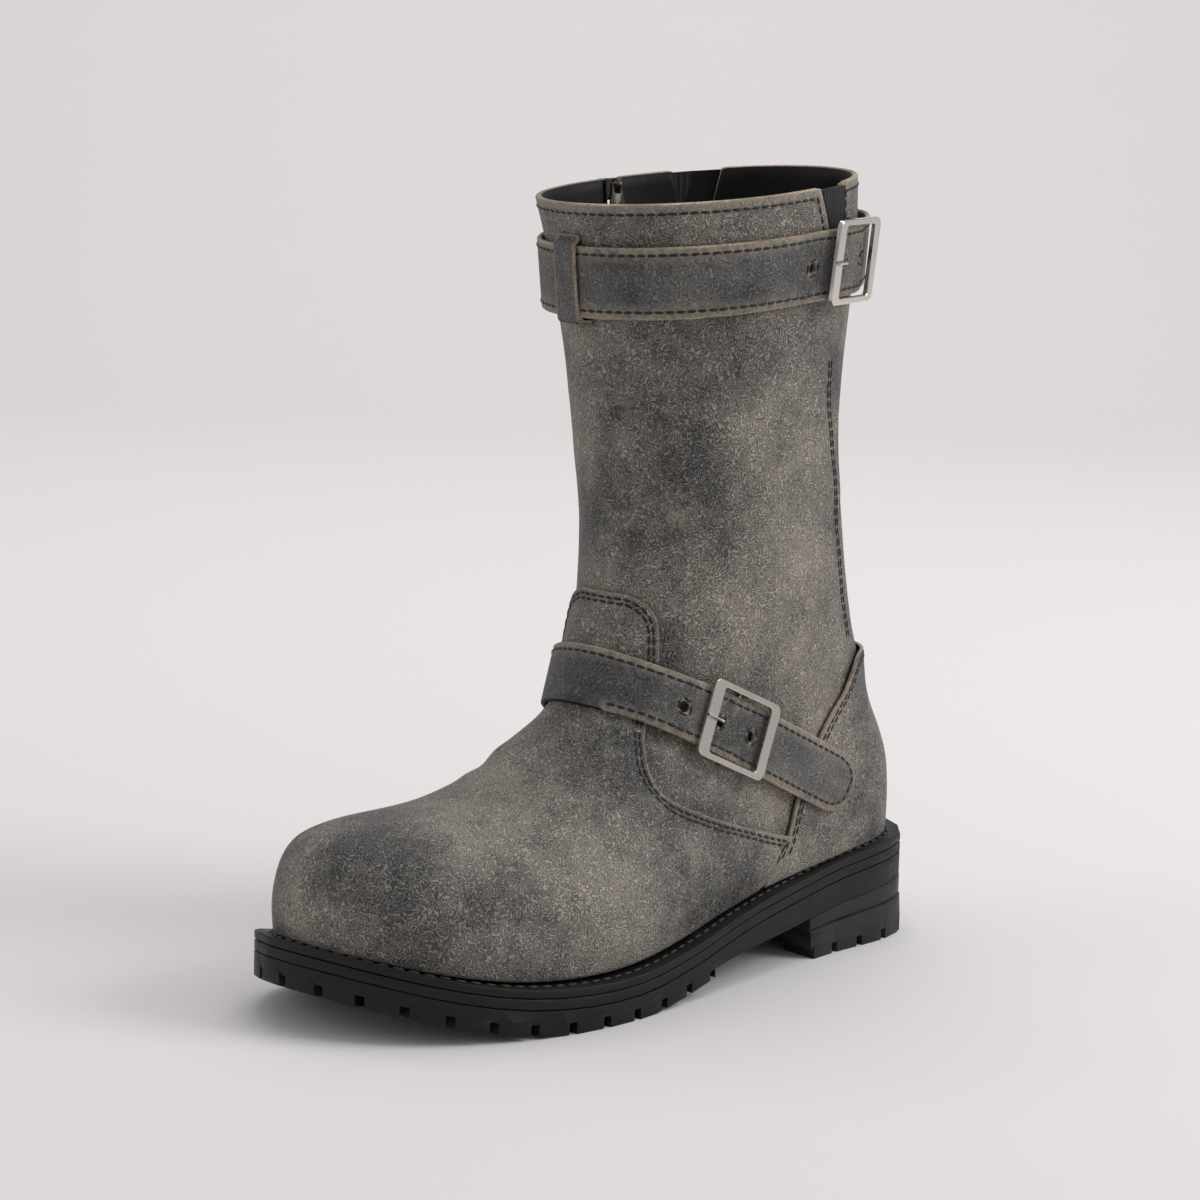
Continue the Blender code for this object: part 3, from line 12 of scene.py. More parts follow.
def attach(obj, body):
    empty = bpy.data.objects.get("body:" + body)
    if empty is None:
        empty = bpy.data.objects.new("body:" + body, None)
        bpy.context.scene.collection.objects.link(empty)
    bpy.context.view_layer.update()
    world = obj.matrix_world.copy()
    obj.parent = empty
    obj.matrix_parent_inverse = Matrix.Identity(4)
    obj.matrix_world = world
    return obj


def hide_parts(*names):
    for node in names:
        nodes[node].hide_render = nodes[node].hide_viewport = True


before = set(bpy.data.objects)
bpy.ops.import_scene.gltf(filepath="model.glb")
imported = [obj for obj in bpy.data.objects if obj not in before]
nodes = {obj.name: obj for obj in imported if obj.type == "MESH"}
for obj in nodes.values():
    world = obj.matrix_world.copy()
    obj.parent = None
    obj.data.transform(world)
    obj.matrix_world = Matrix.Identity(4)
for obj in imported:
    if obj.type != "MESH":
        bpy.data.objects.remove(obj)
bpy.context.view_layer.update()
bodyName = "boot"
mm = 0.001
random.seed(7)


# Camera at the photograph's angle to the boot
camera = {
    "azimuth": 45.15,                           # degrees round from the toe, toward the outer side
    "elevation": 8.27, "roll": 1.63,            # degrees
    "distance": 1358.5*mm,
    "lens": 106.6, "sensor": 36,                # mm
    "clip": (0.05, 30),                         # metres
    "target": Vector((-6.6*mm, 0, 150*mm)),
    "across": -2.52*mm, "above": -6.20*mm,      # how far the aim lies beside and above the target
}


def cameraAxes(azimuth, elevation, roll):
    a, e, r = (math.radians(v) for v in (azimuth, elevation, roll))
    back = Vector((math.sin(a)*math.cos(e), -math.cos(a)*math.cos(e), math.sin(e)))
    level = Vector((math.cos(a), math.sin(a), 0))
    upright = back.cross(level)
    right = math.cos(r)*level + math.sin(r)*upright
    return right, back.cross(right), back


def makeCamera():
    right, up, back = cameraAxes(camera["azimuth"], camera["elevation"], camera["roll"])
    aim = camera["target"] + camera["across"]*right + camera["above"]*up
    place = aim + camera["distance"]*back
    bpy.ops.object.camera_add(location=place)
    made = bpy.context.object
    made.name = "photoCamera"
    made.matrix_world = Matrix.Translation(place) @ Matrix((right, up, back)).transposed().to_4x4()
    made.data.sensor_width = camera["sensor"]
    made.data.lens = camera["lens"]
    made.data.clip_start, made.data.clip_end = camera["clip"]
    bpy.context.scene.camera = made
    print("camera", round(camera["distance"]/mm), "mm away")


# Floor, backdrop and light
studio = {
    "paper": "#e9e6e6",
    "halfWidth": 4.0, "front": -4.0, "back": 3.4, "height": 3.6,    # metres
    "sweepRadius": 1.2, "sweepSteps": 12,
    "roughness": 0.95, "specular": 0.1,
    "skyColour": "#f5f3f4", "skyStrength": 0.50,
    "lights": (
        # name, place, point it is aimed at, size, watts
        ("topSoftbox", (0.3, 0.4, 2.2), (0, 0, 0.1), 1.6, 9),
        ("rightSoftbox", (1.6, 1.2, 1.4), (0, 0, 0.15), 1.2, 23),
        ("leftSoftbox", (-1.2, -2.0, 1.1), (0, 0, 0.05), 1.4, 6),
        ("wallWash", (-0.85, 0.85, 2.6), (-2.4, 2.4, 0.5), 1.6, 24),
    ),
}


# sRGB hex to linear
def linear(colour):
    parts = [int(colour[i:i + 2], 16)/255 for i in (1, 3, 5)]
    return (*(p/12.92 if p <= 0.04045 else ((p + 0.055)/1.055)**2.4 for p in parts), 1.0)


# Gives each input its value, or a link where the value is another node's output
def feed(tree, node, inputs):
    for name, value in inputs.items():
        if isinstance(value, bpy.types.NodeSocket):
            tree.links.new(value, node.inputs[name])
        else:
            node.inputs[name].default_value = value


def addNode(tree, kind, inputs=None, out=0, **settings):
    made = tree.nodes.new(kind)
    for name, value in settings.items():
        setattr(made, name, value)
    feed(tree, made, inputs or {})
    return made.outputs[out]


def newMaterial(name):
    made = bpy.data.materials.new(name)
    made.use_nodes = True
    tree = made.node_tree
    return made, tree, tree.nodes["Principled BSDF"]


def makeStage():
    profile = [(studio["front"], 0.0), (studio["back"] - studio["sweepRadius"], 0.0)]
    for i in range(1, studio["sweepSteps"] + 1):
        turn = math.pi/2*i/studio["sweepSteps"]
        profile.append((studio["back"] - studio["sweepRadius"]*(1 - math.sin(turn)),
                        studio["sweepRadius"]*(1 - math.cos(turn))))
    profile.append((studio["back"], studio["height"]))
    side = studio["halfWidth"]
    points = [(x, y, z) for y, z in profile for x in (-side, side)]
    faces = [(2*i, 2*i + 1, 2*i + 3, 2*i + 2) for i in range(len(profile) - 1)]
    mesh = bpy.data.meshes.new("paperSweep")
    mesh.from_pydata(points, [], faces)
    mesh.shade_smooth()
    sweep = bpy.data.objects.new("paperSweep", mesh)
    bpy.context.scene.collection.objects.link(sweep)
    sweep.rotation_euler.z = math.radians(camera["azimuth"])
    material, tree, shader = newMaterial("mattPaper")      # uncoated paper: no shine
    feed(tree, shader, {"Base Color": linear(studio["paper"]), "Roughness": studio["roughness"],
                        "Specular IOR Level": studio["specular"]})
    mesh.materials.append(material)
    sky = bpy.data.worlds.new("studioSky")
    bpy.context.scene.world = sky
    sky.use_nodes = True
    feed(sky.node_tree, sky.node_tree.nodes["Background"],
         {"Color": linear(studio["skyColour"]), "Strength": studio["skyStrength"]})
    for name, place, aim, size, watts in studio["lights"]:
        bpy.ops.object.light_add(type="AREA", location=place)
        lamp = bpy.context.object
        lamp.name = name
        lamp.data.size = size
        lamp.data.energy = watts
        lamp.rotation_euler = (Vector(aim) - Vector(place)).to_track_quat("-Z", "Y").to_euler()
    bpy.context.scene.view_settings.view_transform = "Standard"
    print("stage with", len(studio["lights"]), "lights")


# Distressed leather: slate and tan patches with a pale winding crackle over both
hide = {
    "patch": 42.0, "mottle": 7.0, "mottleShare": 0.40,      # mm, sizes of the tone's patches
    "toneRange": (0.55, 0.89),                  # where the tone turns from the dark to the light colour
    "whorl": 2.6, "winding": 42.0,              # mm, the grain's whorls, drawn as coarse as they need to show
    "crackleRange": (0.15, 0.95),
    "gap": 1.3, "gapRange": (0.36, 0.50), "gapShare": 0.25,     # mm, where the crackle fades
    "valley": "#1d1d1e", "valleyRange": (-0.95, -0.35), "valleyShare": 0.38,
    "torn": 2.4,                                # mm, the ragged borders of the scuffs
    "scuffRange": (0.40, 0.62), "bare": "#b5ab9b",
    "wornRange": (0.30, 0.55), "wornEdge": "#94897a",
    "roughness": (0.50, 0.74), "specular": 0.38,
    "grainDepth": 0.28, "poreDepth": 0.8,       # mm
}


def distressedLeather(name, dark, light, line, lineShare):
    material, tree, shader = newMaterial(name)
    place = addNode(tree, "ShaderNodeTexCoord", out="Object")
    toneAndPaintedLight, scuff, wear = (addNode(tree, "ShaderNodeAttribute", out="Fac", attribute_name=field)
                          for field in ("toneAndPaintedLight", "scuff", "wear"))
    mottle = addNode(tree, "ShaderNodeTexNoise", {"Vector": place, "Scale": 1/(hide["mottle"]*mm),
                                                  "Detail": 5.0, "Roughness": 0.62})
    patch = addNode(tree, "ShaderNodeTexNoise", {"Vector": place, "Scale": 1/(hide["patch"]*mm),
                                                 "Detail": 3.0, "Roughness": 0.55})
    faint = addNode(tree, "ShaderNodeMath", {0: mottle, 1: hide["mottleShare"]}, operation="MULTIPLY")
    tone = addNode(tree, "ShaderNodeMath", {0: faint, 1: patch}, operation="ADD")
    # the per-point tone marks: the hide's own tone, with painted light and shade
    tone = addNode(tree, "ShaderNodeMath", {0: tone, 1: toneAndPaintedLight}, operation="ADD")
    base = addNode(tree, "ShaderNodeMapRange", {"Value": tone, "From Min": hide["toneRange"][0],
                                                "From Max": hide["toneRange"][1]})

    # the crackle: level lines of a smooth noise, broken where a finer one is low
    whorl = addNode(tree, "ShaderNodeTexNoise", {"Vector": place, "Scale": 1/(hide["whorl"]*mm),
                                                 "Detail": 0.6, "Roughness": 0.5, "Distortion": 0.25})
    wound = addNode(tree, "ShaderNodeMath", {0: whorl, 1: hide["winding"]}, operation="MULTIPLY")
    wave = addNode(tree, "ShaderNodeMath", {0: wound}, operation="SINE")
    crackle = addNode(tree, "ShaderNodeMapRange", {"Value": wave, "From Min": hide["crackleRange"][0],
                                                   "From Max": hide["crackleRange"][1]})
    fine = addNode(tree, "ShaderNodeTexNoise", {"Vector": place, "Scale": 1/(hide["gap"]*mm), "Detail": 2.0,
                                                "Roughness": 0.55})
    gate = addNode(tree, "ShaderNodeMapRange", {"Value": fine, "From Min": hide["gapRange"][0],
                                                "From Max": hide["gapRange"][1],
                                                "To Min": hide["gapShare"]})
    crackle = addNode(tree, "ShaderNodeMath", {0: crackle, 1: gate}, operation="MULTIPLY")
    pale = addNode(tree, "ShaderNodeMapRange", {"Value": base, "To Min": lineShare[0],
                                                "To Max": lineShare[1]})
    lines = addNode(tree, "ShaderNodeMath", {0: crackle, 1: pale}, operation="MULTIPLY", use_clamp=True)
    valleys = addNode(tree, "ShaderNodeMapRange", {"Value": wave, "From Min": hide["valleyRange"][0],
                                                   "From Max": hide["valleyRange"][1],
                                                   "To Min": hide["valleyShare"], "To Max": 0.0})

    # scuffs and rubbed borders show the tan hide
    torn = addNode(tree, "ShaderNodeTexNoise", {"Vector": place, "Scale": 1/(hide["torn"]*mm),
                                                "Detail": 5.0, "Roughness": 0.68})
    worn = []
    for field, (low, high) in ((scuff, hide["scuffRange"]), (wear, hide["wornRange"])):
        ragged = addNode(tree, "ShaderNodeMapRange", {"Value": torn, "From Min": low, "From Max": high})
        worn.append(addNode(tree, "ShaderNodeMath", {0: ragged, 1: field}, operation="MULTIPLY",
                            use_clamp=True))
    colour = linear(dark)
    for share, over in ((base, light), (lines, line), (valleys, hide["valley"]), (worn[0], hide["bare"]),
                        (worn[1], hide["wornEdge"])):
        colour = addNode(tree, "ShaderNodeMix", {0: share, 6: colour, 7: linear(over)}, 2, data_type="RGBA")
    rough = addNode(tree, "ShaderNodeMapRange", {"Value": base, "To Min": hide["roughness"][0],
                                                 "To Max": hide["roughness"][1]})
    grain = addNode(tree, "ShaderNodeBump", {"Height": wave, "Strength": 0.5,
                                             "Distance": hide["grainDepth"]*mm})
    pores = addNode(tree, "ShaderNodeBump", {"Height": mottle, "Normal": grain, "Strength": 0.35,
                                             "Distance": hide["poreDepth"]*mm})
    feed(tree, shader, {"Base Color": colour, "Roughness": rough, "Normal": pores,
                        "Specular IOR Level": hide["specular"]})
    return material


# Plain finishes: two close tones in a noise of the real grain's size in mm, with its relief
plain = {
    "broad": 24, "toneRange": (0.12, 0.42),     # mm, slow change of tone over the piece
    "depth": 0.2,                               # mm
}


def plainFinish(name, low, high, roughness, grainSize, bump, metallic=0.0, specular=0.5, stretch=(1, 1, 1)):
    material, tree, shader = newMaterial(name)
    place = addNode(tree, "ShaderNodeTexCoord", out="Object")
    turned = addNode(tree, "ShaderNodeMapping", {"Vector": place, "Scale": stretch})
    grain = addNode(tree, "ShaderNodeTexNoise", {"Vector": turned, "Scale": 1/(grainSize*mm), "Detail": 4.0,
                                                 "Roughness": 0.6})
    broad = addNode(tree, "ShaderNodeTexNoise", {"Vector": place, "Scale": 1/(plain["broad"]*mm),
                                                 "Detail": 2.0})
    mixed = addNode(tree, "ShaderNodeMath", {0: grain, 1: broad}, operation="MULTIPLY")
    tone = addNode(tree, "ShaderNodeMapRange", {"Value": mixed, "From Min": plain["toneRange"][0],
                                                "From Max": plain["toneRange"][1]})
    colour = addNode(tree, "ShaderNodeMix", {0: tone, 6: linear(low), 7: linear(high)}, 2, data_type="RGBA")
    rough = addNode(tree, "ShaderNodeMapRange", {"Value": tone, "To Min": roughness[0],
                                                 "To Max": roughness[1]})
    relief = addNode(tree, "ShaderNodeBump", {"Height": grain, "Strength": bump,
                                              "Distance": plain["depth"]*mm})
    feed(tree, shader, {"Base Color": colour, "Roughness": rough, "Normal": relief, "Metallic": metallic,
                        "Specular IOR Level": specular})
    return material


# Woven elastic: ribbed by the cords that run up the gore, dull
elastic = {
    "rib": 1.1, "depth": 0.4,                   # mm
    "turn": 6.283,                              # the wave texture's scale for one band in each unit
    "groove": "#0f0f11", "cord": "#26262a", "roughness": 0.8,
}


def ribbedElastic():
    material, tree, shader = newMaterial("ribbedElastic")
    place = addNode(tree, "ShaderNodeTexCoord", out="Object")
    bands = {"Vector": place, "Scale": 1/(elastic["rib"]*mm)/elastic["turn"], "Distortion": 0.4}
    ribs = addNode(tree, "ShaderNodeTexWave", bands, "Fac", wave_type="BANDS", bands_direction="Y")
    colour = addNode(tree, "ShaderNodeMix", {0: ribs, 6: linear(elastic["groove"]),
                                             7: linear(elastic["cord"])}, 2, data_type="RGBA")
    relief = addNode(tree, "ShaderNodeBump", {"Height": ribs, "Strength": 0.7,
                                              "Distance": elastic["depth"]*mm})
    feed(tree, shader, {"Base Color": colour, "Normal": relief, "Roughness": elastic["roughness"]})
    return material


# Vulcanised rubber: dull black, dusty, with mould lines that run along the sole's side
rubber = {
    "dust": 9, "streak": 22, "flatten": 14,     # mm; the streaks are this much finer in height
    "toneRange": (0.16, 0.40), "roughness": (0.48, 0.72), "specular": 0.32,
    "streakDepth": 0.35, "dustDepth": 0.2,      # mm
}


def mouldedRubber(name, low, high):
    material, tree, shader = newMaterial(name)
    place = addNode(tree, "ShaderNodeTexCoord", out="Object")
    dust = addNode(tree, "ShaderNodeTexNoise", {"Vector": place, "Scale": 1/(rubber["dust"]*mm),
                                                "Detail": 6.0, "Roughness": 0.7})
    level = addNode(tree, "ShaderNodeMapping", {"Vector": place, "Scale": (1, 1, rubber["flatten"])})
    streak = addNode(tree, "ShaderNodeTexNoise", {"Vector": level, "Scale": 1/(rubber["streak"]*mm),
                                                  "Detail": 3.0})
    mixed = addNode(tree, "ShaderNodeMath", {0: dust, 1: streak}, operation="MULTIPLY")
    tone = addNode(tree, "ShaderNodeMapRange", {"Value": mixed, "From Min": rubber["toneRange"][0],
                                                "From Max": rubber["toneRange"][1]})
    colour = addNode(tree, "ShaderNodeMix", {0: tone, 6: linear(low), 7: linear(high)}, 2, data_type="RGBA")
    rough = addNode(tree, "ShaderNodeMapRange", {"Value": tone, "To Min": rubber["roughness"][0],
                                                 "To Max": rubber["roughness"][1]})
    relief = addNode(tree, "ShaderNodeBump", {"Height": streak, "Strength": 0.35,
                                              "Distance": rubber["streakDepth"]*mm})
    fine = addNode(tree, "ShaderNodeBump", {"Height": dust, "Normal": relief, "Strength": 0.2,
                                            "Distance": rubber["dustDepth"]*mm})
    feed(tree, shader, {"Base Color": colour, "Roughness": rough, "Normal": fine,
                        "Specular IOR Level": rubber["specular"]})
    return material


finishes = {
    # waxed hide, sanded by hand: dull and chalky where it is light, a soft sheen where the wax is left
    "shaftLeather": distressedLeather("sandedShaftLeather", "#36383a", "#827d74", "#bbb1a3", (0.34, 0.75)),
    "vampLeather": distressedLeather("sandedVampLeather", "#37393b", "#837e75", "#bab1a4", (0.34, 0.75)),
    "strapLeather": distressedLeather("sandedStrapLeather", "#343638", "#656462", "#95918a", (0.25, 0.55)),
    # cut hide, not painted: pale and fibrous, and paler still as painted light where the edges catch the
    # lamps
    "rawEdge": plainFinish("rawHideEdgeWithPaintedLight", "#6b5f52", "#c2af98", (0.7, 0.9), 1.5, 0.4),
    # smooth black lining leather, made darker still as painted shade inside the shaft: almost no light comes
    # back from inside the shaft
    "lining": plainFinish("blackLiningWithPaintedShade", "#060607", "#101113", (0.5, 0.7), 2, 0.25, 0.0, 0.25),
    # waxed polyester thread: black, with a faint shine
    "thread": plainFinish("waxedThread", "#030303", "#0c0c0d", (0.4, 0.6), 0.8, 0.2),
    # the welt's thread: the same black thread, made lighter as a painted highlight along its raised dashes
    "weltThread": plainFinish("blackWeltThreadWithPaintedHighlight", "#17181a", "#303236", (0.45, 0.65), 0.8, 0.2),
    # black rubber, made darker still as painted shade for the welt's shadow on the sole's side
    "rubber": mouldedRubber("vulcanisedRubberWithPaintedShade", "#050506", "#17181a"),
    "welt": mouldedRubber("blackWeltRubber", "#060607", "#17181a"),
    "heelRubber": mouldedRubber("dustyHeelRubber", "#161718", "#2f3032"),
    "elastic": ribbedElastic(),
    # nickel plate, brushed along: bright, with soft reflections drawn out one way
    "nickel": plainFinish("brushedNickel", "#cdc8c0", "#d9d5cd", (0.19, 0.24), 2, 0.02, 1.0,
                          stretch=(1, 1, 9)),
    # blackened zip metal, die cast: dark and a little grainy
    "gunmetal": plainFinish("darkZipMetal", "#45433f", "#77736c", (0.32, 0.5), 0.9, 0.2, 0.9),
    # woven polyester tape and foam: black and without shine
    "zipTape": plainFinish("wovenZipTape", "#0c0c0e", "#1c1c20", (0.75, 0.9), 0.7, 0.6),
    "insole": plainFinish("blackFoamInsole", "#0a0a0b", "#161618", (0.8, 0.95), 1.2, 0.4),
}
print("finishes", len(finishes))


def select(piece):
    bpy.ops.object.select_all(action="DESELECT")
    piece.select_set(True)
    bpy.context.view_layer.objects.active = piece


# Leather panels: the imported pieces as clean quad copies, rounded and subdivided
panels = {
    # node: finish, slot, subdivision levels, thickness in mm
    "upper": ("shaftLeather", "grey_leather", 2, 2.4),
    "vamp": ("vampLeather", "grey_leather_overlay", 2, 1.4),
    "counter": ("shaftLeather", "grey_leather_overlay", 2, 1.4),
    "collar_strap": ("strapLeather", "grey_leather_strap", 2, 2.2),
    "ankle_strap": ("strapLeather", "grey_leather_strap", 2, 2.2),
    "collar_keeper": ("strapLeather", "grey_leather_strap", 3, 1.4),
}
copying = {"weld": 1e-5, "faceTurn": 60, "shapeTurn": 70}      # metres, degrees
cutEdge = {
    "turn": 42,                  # degrees, beyond which two faces meet at an edge that stays crisp
    "crease": 0.85,              # how crisp it stays under subdivision
    "thin": 1.3,                 # a cut edge's faces are at most this many walls wide
    "facing": 0.7,               # and turned this far away from the boot's middle line
    "wear": 0.9,                 # mm, width of the rubbed border beside it
}
sharpTurn = math.radians(cutEdge["turn"])
folded = ("upper", "vamp", "counter")       # pieces that crease together and end under the welt
faceIndex, rimIndex, liningIndex = 0, 1, 2


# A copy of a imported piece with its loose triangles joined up
def mergedCopy(name, flatten=0.0):
    source = nodes[name]
    made = source.copy()
    made.data = source.data.copy()
    made.name = name + "Skin"
    made.hide_viewport = made.hide_render = False
    bpy.context.scene.collection.objects.link(made)
    made.parent = None
    made.matrix_world = source.matrix_world.copy()
    made.data.materials.clear()
    select(made)
    bpy.ops.object.transform_apply(location=True, rotation=True, scale=True)
    bpy.ops.object.mode_set(mode="EDIT")
    bpy.ops.mesh.select_all(action="SELECT")
    bpy.ops.mesh.remove_doubles(threshold=copying["weld"])
    if flatten:
        bpy.ops.mesh.dissolve_limited(angle_limit=flatten)
    else:
        bpy.ops.mesh.tris_convert_to_quads(face_threshold=math.radians(copying["faceTurn"]),
                                           shape_threshold=math.radians(copying["shapeTurn"]))
    bpy.ops.object.mode_set(mode="OBJECT")
    return made


# Sorts a panel's faces into its outside, its thin cut edge and its inside, and creases the edge
def faceParts(skin, wall):
    solid = bmesh.new()
    solid.from_mesh(skin.data)
    crease = solid.edges.layers.float.get("crease_edge") or solid.edges.layers.float.new("crease_edge")
    sharp = {e for e in solid.edges if len(e.link_faces) == 2 and e.calc_face_angle() > sharpTurn}
    for edge in sharp:
        edge[crease] = cutEdge["crease"]
    for face in solid.faces:
        longest = max(e.calc_length() for e in face.edges)
        thin = face.calc_area()/longest < wall*cutEdge["thin"]
        facing = face.normal.dot(fromSpine(face.calc_center_median()))
        if thin and abs(facing) < cutEdge["facing"] and sum(e in sharp for e in face.edges) >= 2:
            face.material_index = rimIndex
        elif facing < 0:
            face.material_index = liningIndex
        else:
            face.material_index = faceIndex
    solid.to_mesh(skin.data)
    solid.free()


# The outside face beside a panel's cut edge, or None
def faceSide(edge):
    faces = sorted(edge.link_faces, key=lambda f: f.material_index)
    return faces[0] if [f.material_index for f in faces] == [faceIndex, rimIndex] else None


# The upward face beside a plate's outer wall, or None
def topSide(edge):
    if len(edge.link_faces) != 2:
        return None
    low, high = sorted(edge.link_faces, key=lambda f: f.normal.z)
    return high if high.normal.z > sole["upward"] and abs(low.normal.z) < sole["upright"] else None


# The border of a face as chains of (point, way inward over the face)
def rimLoops(skin, side=faceSide):
    solid = bmesh.new()
    solid.from_mesh(skin.data)
    inward, links = {}, {}
    for edge in solid.edges:
        face = side(edge)
        if face is not None:
            for vertex in edge.verts:
                aim = (face.calc_center_median() - vertex.co).normalized()
                inward.setdefault(vertex.index, []).append(aim)
            a, b = (v.index for v in edge.verts)
            links.setdefault(a, []).append(b)
            links.setdefault(b, []).append(a)
    solid.verts.ensure_lookup_table()
    place = {i: solid.verts[i].co.copy() for i in links}
    solid.free()
    loops, left = [], set(links)
    while left:
        ends = [i for i in left if len(links[i]) == 1]
        start = ends[0] if ends else min(left)
        chain, at = [start], start
        left.discard(start)
        while True:
            ahead = [i for i in links[at] if i in left]
            if not ahead:
                break
            at = ahead[0]
            left.discard(at)
            chain.append(at)
        closed = len(chain) > 2 and start in links[at]
        if len(chain) > 3:
            aims = [sum(inward[i], Vector()).normalized() for i in chain]
            loops.append(([place[i] for i in chain], aims, closed))
    return loops


def outsideTree(skin):
    mesh = skin.data
    faces = [tuple(p.vertices) for p in mesh.polygons if p.material_index == faceIndex]
    return BVHTree.FromPolygons([v.co.copy() for v in mesh.vertices], faces)


def runsAlong(points):
    runs = [0.0]
    for a, b in zip(points[:-1], points[1:]):
        runs.append(runs[-1] + (b - a).length)
    return runs


# Even steps along a chain
def resampled(points, aims, closed, step):
    if closed:
        points, aims = points + points[:1], aims + aims[:1]
    runs = runsAlong(points)
    count = max(2, round(runs[-1]/step))
    out, k = [], 0
    for i in range(count + (0 if closed else 1)):
        at = runs[-1]*i/count
        while k < len(runs) - 2 and runs[k + 1] < at:
            k += 1
        share = (at - runs[k])/max(1e-9, runs[k + 1] - runs[k])
        out.append((points[k].lerp(points[k + 1], share), aims[k].lerp(aims[k + 1], share)))
    return out


# A row that runs a given distance inside a panel's border, on its face: (point, normal) pairs
def insetRow(loop, distance, tree):
    points, aims, closed = loop
    row = []
    samples = resampled(points, aims, closed, stitches["rowStep"]*mm)
    for i, (p, aim) in enumerate(samples):
        before = samples[i - 1][0] if i or closed else p
        after = samples[(i + 1) % len(samples)][0] if i + 1 < len(samples) or closed else p
        tangent = (after - before).normalized()
        across = aim - tangent*aim.dot(tangent)
        row.append(p + across.normalized()*distance)
    out, last = [], len(row) - 1
    for i in range(len(row)):
        near = [row[k % len(row)] if closed else row[max(0, min(last, k))] for k in range(i - 2, i + 3)]
        at, normal = tree.find_nearest(sum(near, Vector())/len(near))[:2]
        if at is not None:
            out.append((at, normal))
    return out, closed


# Soft creases and swells that the worn leather has, laid over upper, vamp and counter together
folds = {
    "creases": (
        # points in mm (x, y, z), depth in mm, half width in mm
        ([(20, -46, 84), (34, -34, 74), (44, -24, 62), (50, -14, 50)], 1.3, 5.5),
        ([(8, -38, 92), (26, -27, 88), (41, -16, 78), (50, -6, 66)], 1.0, 6.0),
        ([(-22, -44, 84), (-36, -34, 72), (-46, -24, 58)], 1.2, 5.5),
        ([(24, -76, 64), (38, -66, 56), (47, -56, 46)], 0.7, 6.0),
        ([(34, 18, 128), (42, 34, 118), (45, 52, 112), (44, 72, 112)], 1.2, 7.0),
        ([(33, 22, 148), (41, 40, 142), (43, 62, 146), (40, 82, 152)], 0.9, 8.0),
        ([(30, 12, 176), (38, 40, 184), (40, 66, 178), (34, 92, 170)], 0.8, 9.0),
        ([(40, 20, 222), (46, 52, 216), (44, 84, 224)], 0.7, 10.0),
        ([(-44, 22, 122), (-50, 44, 114), (-48, 70, 114)], 1.1, 7.0),
        ([(-42, 24, 156), (-48, 50, 160), (-44, 82, 156)], 0.8, 8.0),
        ([(-44, 20, 210), (-51, 50, 204), (-46, 84, 212)], 0.7, 10.0),
        ([(-10, 104, 108), (6, 106, 106), (20, 100, 110)], 0.8, 6.0),
    ),
    "swell": 0.35, "swellSize": 38.0,           # mm, slow unevenness of the hide: its height and its size
    "dip": 1.4,                                 # how steeply a crease falls off
    "bank": 0.45, "bankAt": 1.7, "bankDip": 2.2,    # the swell pushed up beside it, as shares of its size
}


def nearestOnLine(point, line):
    best = 1e9
    for a, b in zip(line[:-1], line[1:]):
        run = b - a
        share = max(0.0, min(1.0, (point - a).dot(run)/run.length_squared))
        best = min(best, (point - a - run*share).length)
    return best


# A slow wave in every direction, between -1 and 1
def waver(point, size):
    x, y, z = point/size
    return (math.sin(x*2.1 + math.sin(z*1.7)) + math.sin(y*1.9 + 1.3*math.sin(x*1.4 + 2.0))
            + math.sin(z*2.3 + 1.1*math.sin(y*1.6 + 0.7)))/3


# How far a point of the leather moves out, in metres
def foldDepth(point):
    total = folds["swell"]*mm*waver(point, folds["swellSize"]*mm)
    for line, depth, half in foldLines:
        gap = nearestOnLine(point, line)
        if gap < half*3:
            share = gap/half
            dip = math.exp(-share*share*folds["dip"])
            bank = folds["bank"]*math.exp(-(share - folds["bankAt"])**2*folds["bankDip"])
            total -= depth*mm*(dip - bank)
    return total


foldLines = [([Vector(p)*mm for p in line], depth, half*mm) for line, depth, half in folds["creases"]]
spine = [Vector((-6.6, y, z))*mm for y, z in ((-110, 42), (-20, 55), (60, 75), (55, 150), (50, 310))]


# The way out of the boot at a point, away from a line through the middle of the foot and the shaft
def fromSpine(point):
    best, foot = 1e9, spine[0]
    for a, b in zip(spine[:-1], spine[1:]):
        run = b - a
        share = max(0.0, min(1.0, (point - a).dot(run)/run.length_squared))
        at = a + run*share
        if (point - at).length < best:
            best, foot = (point - at).length, at
    return (point - foot).normalized()
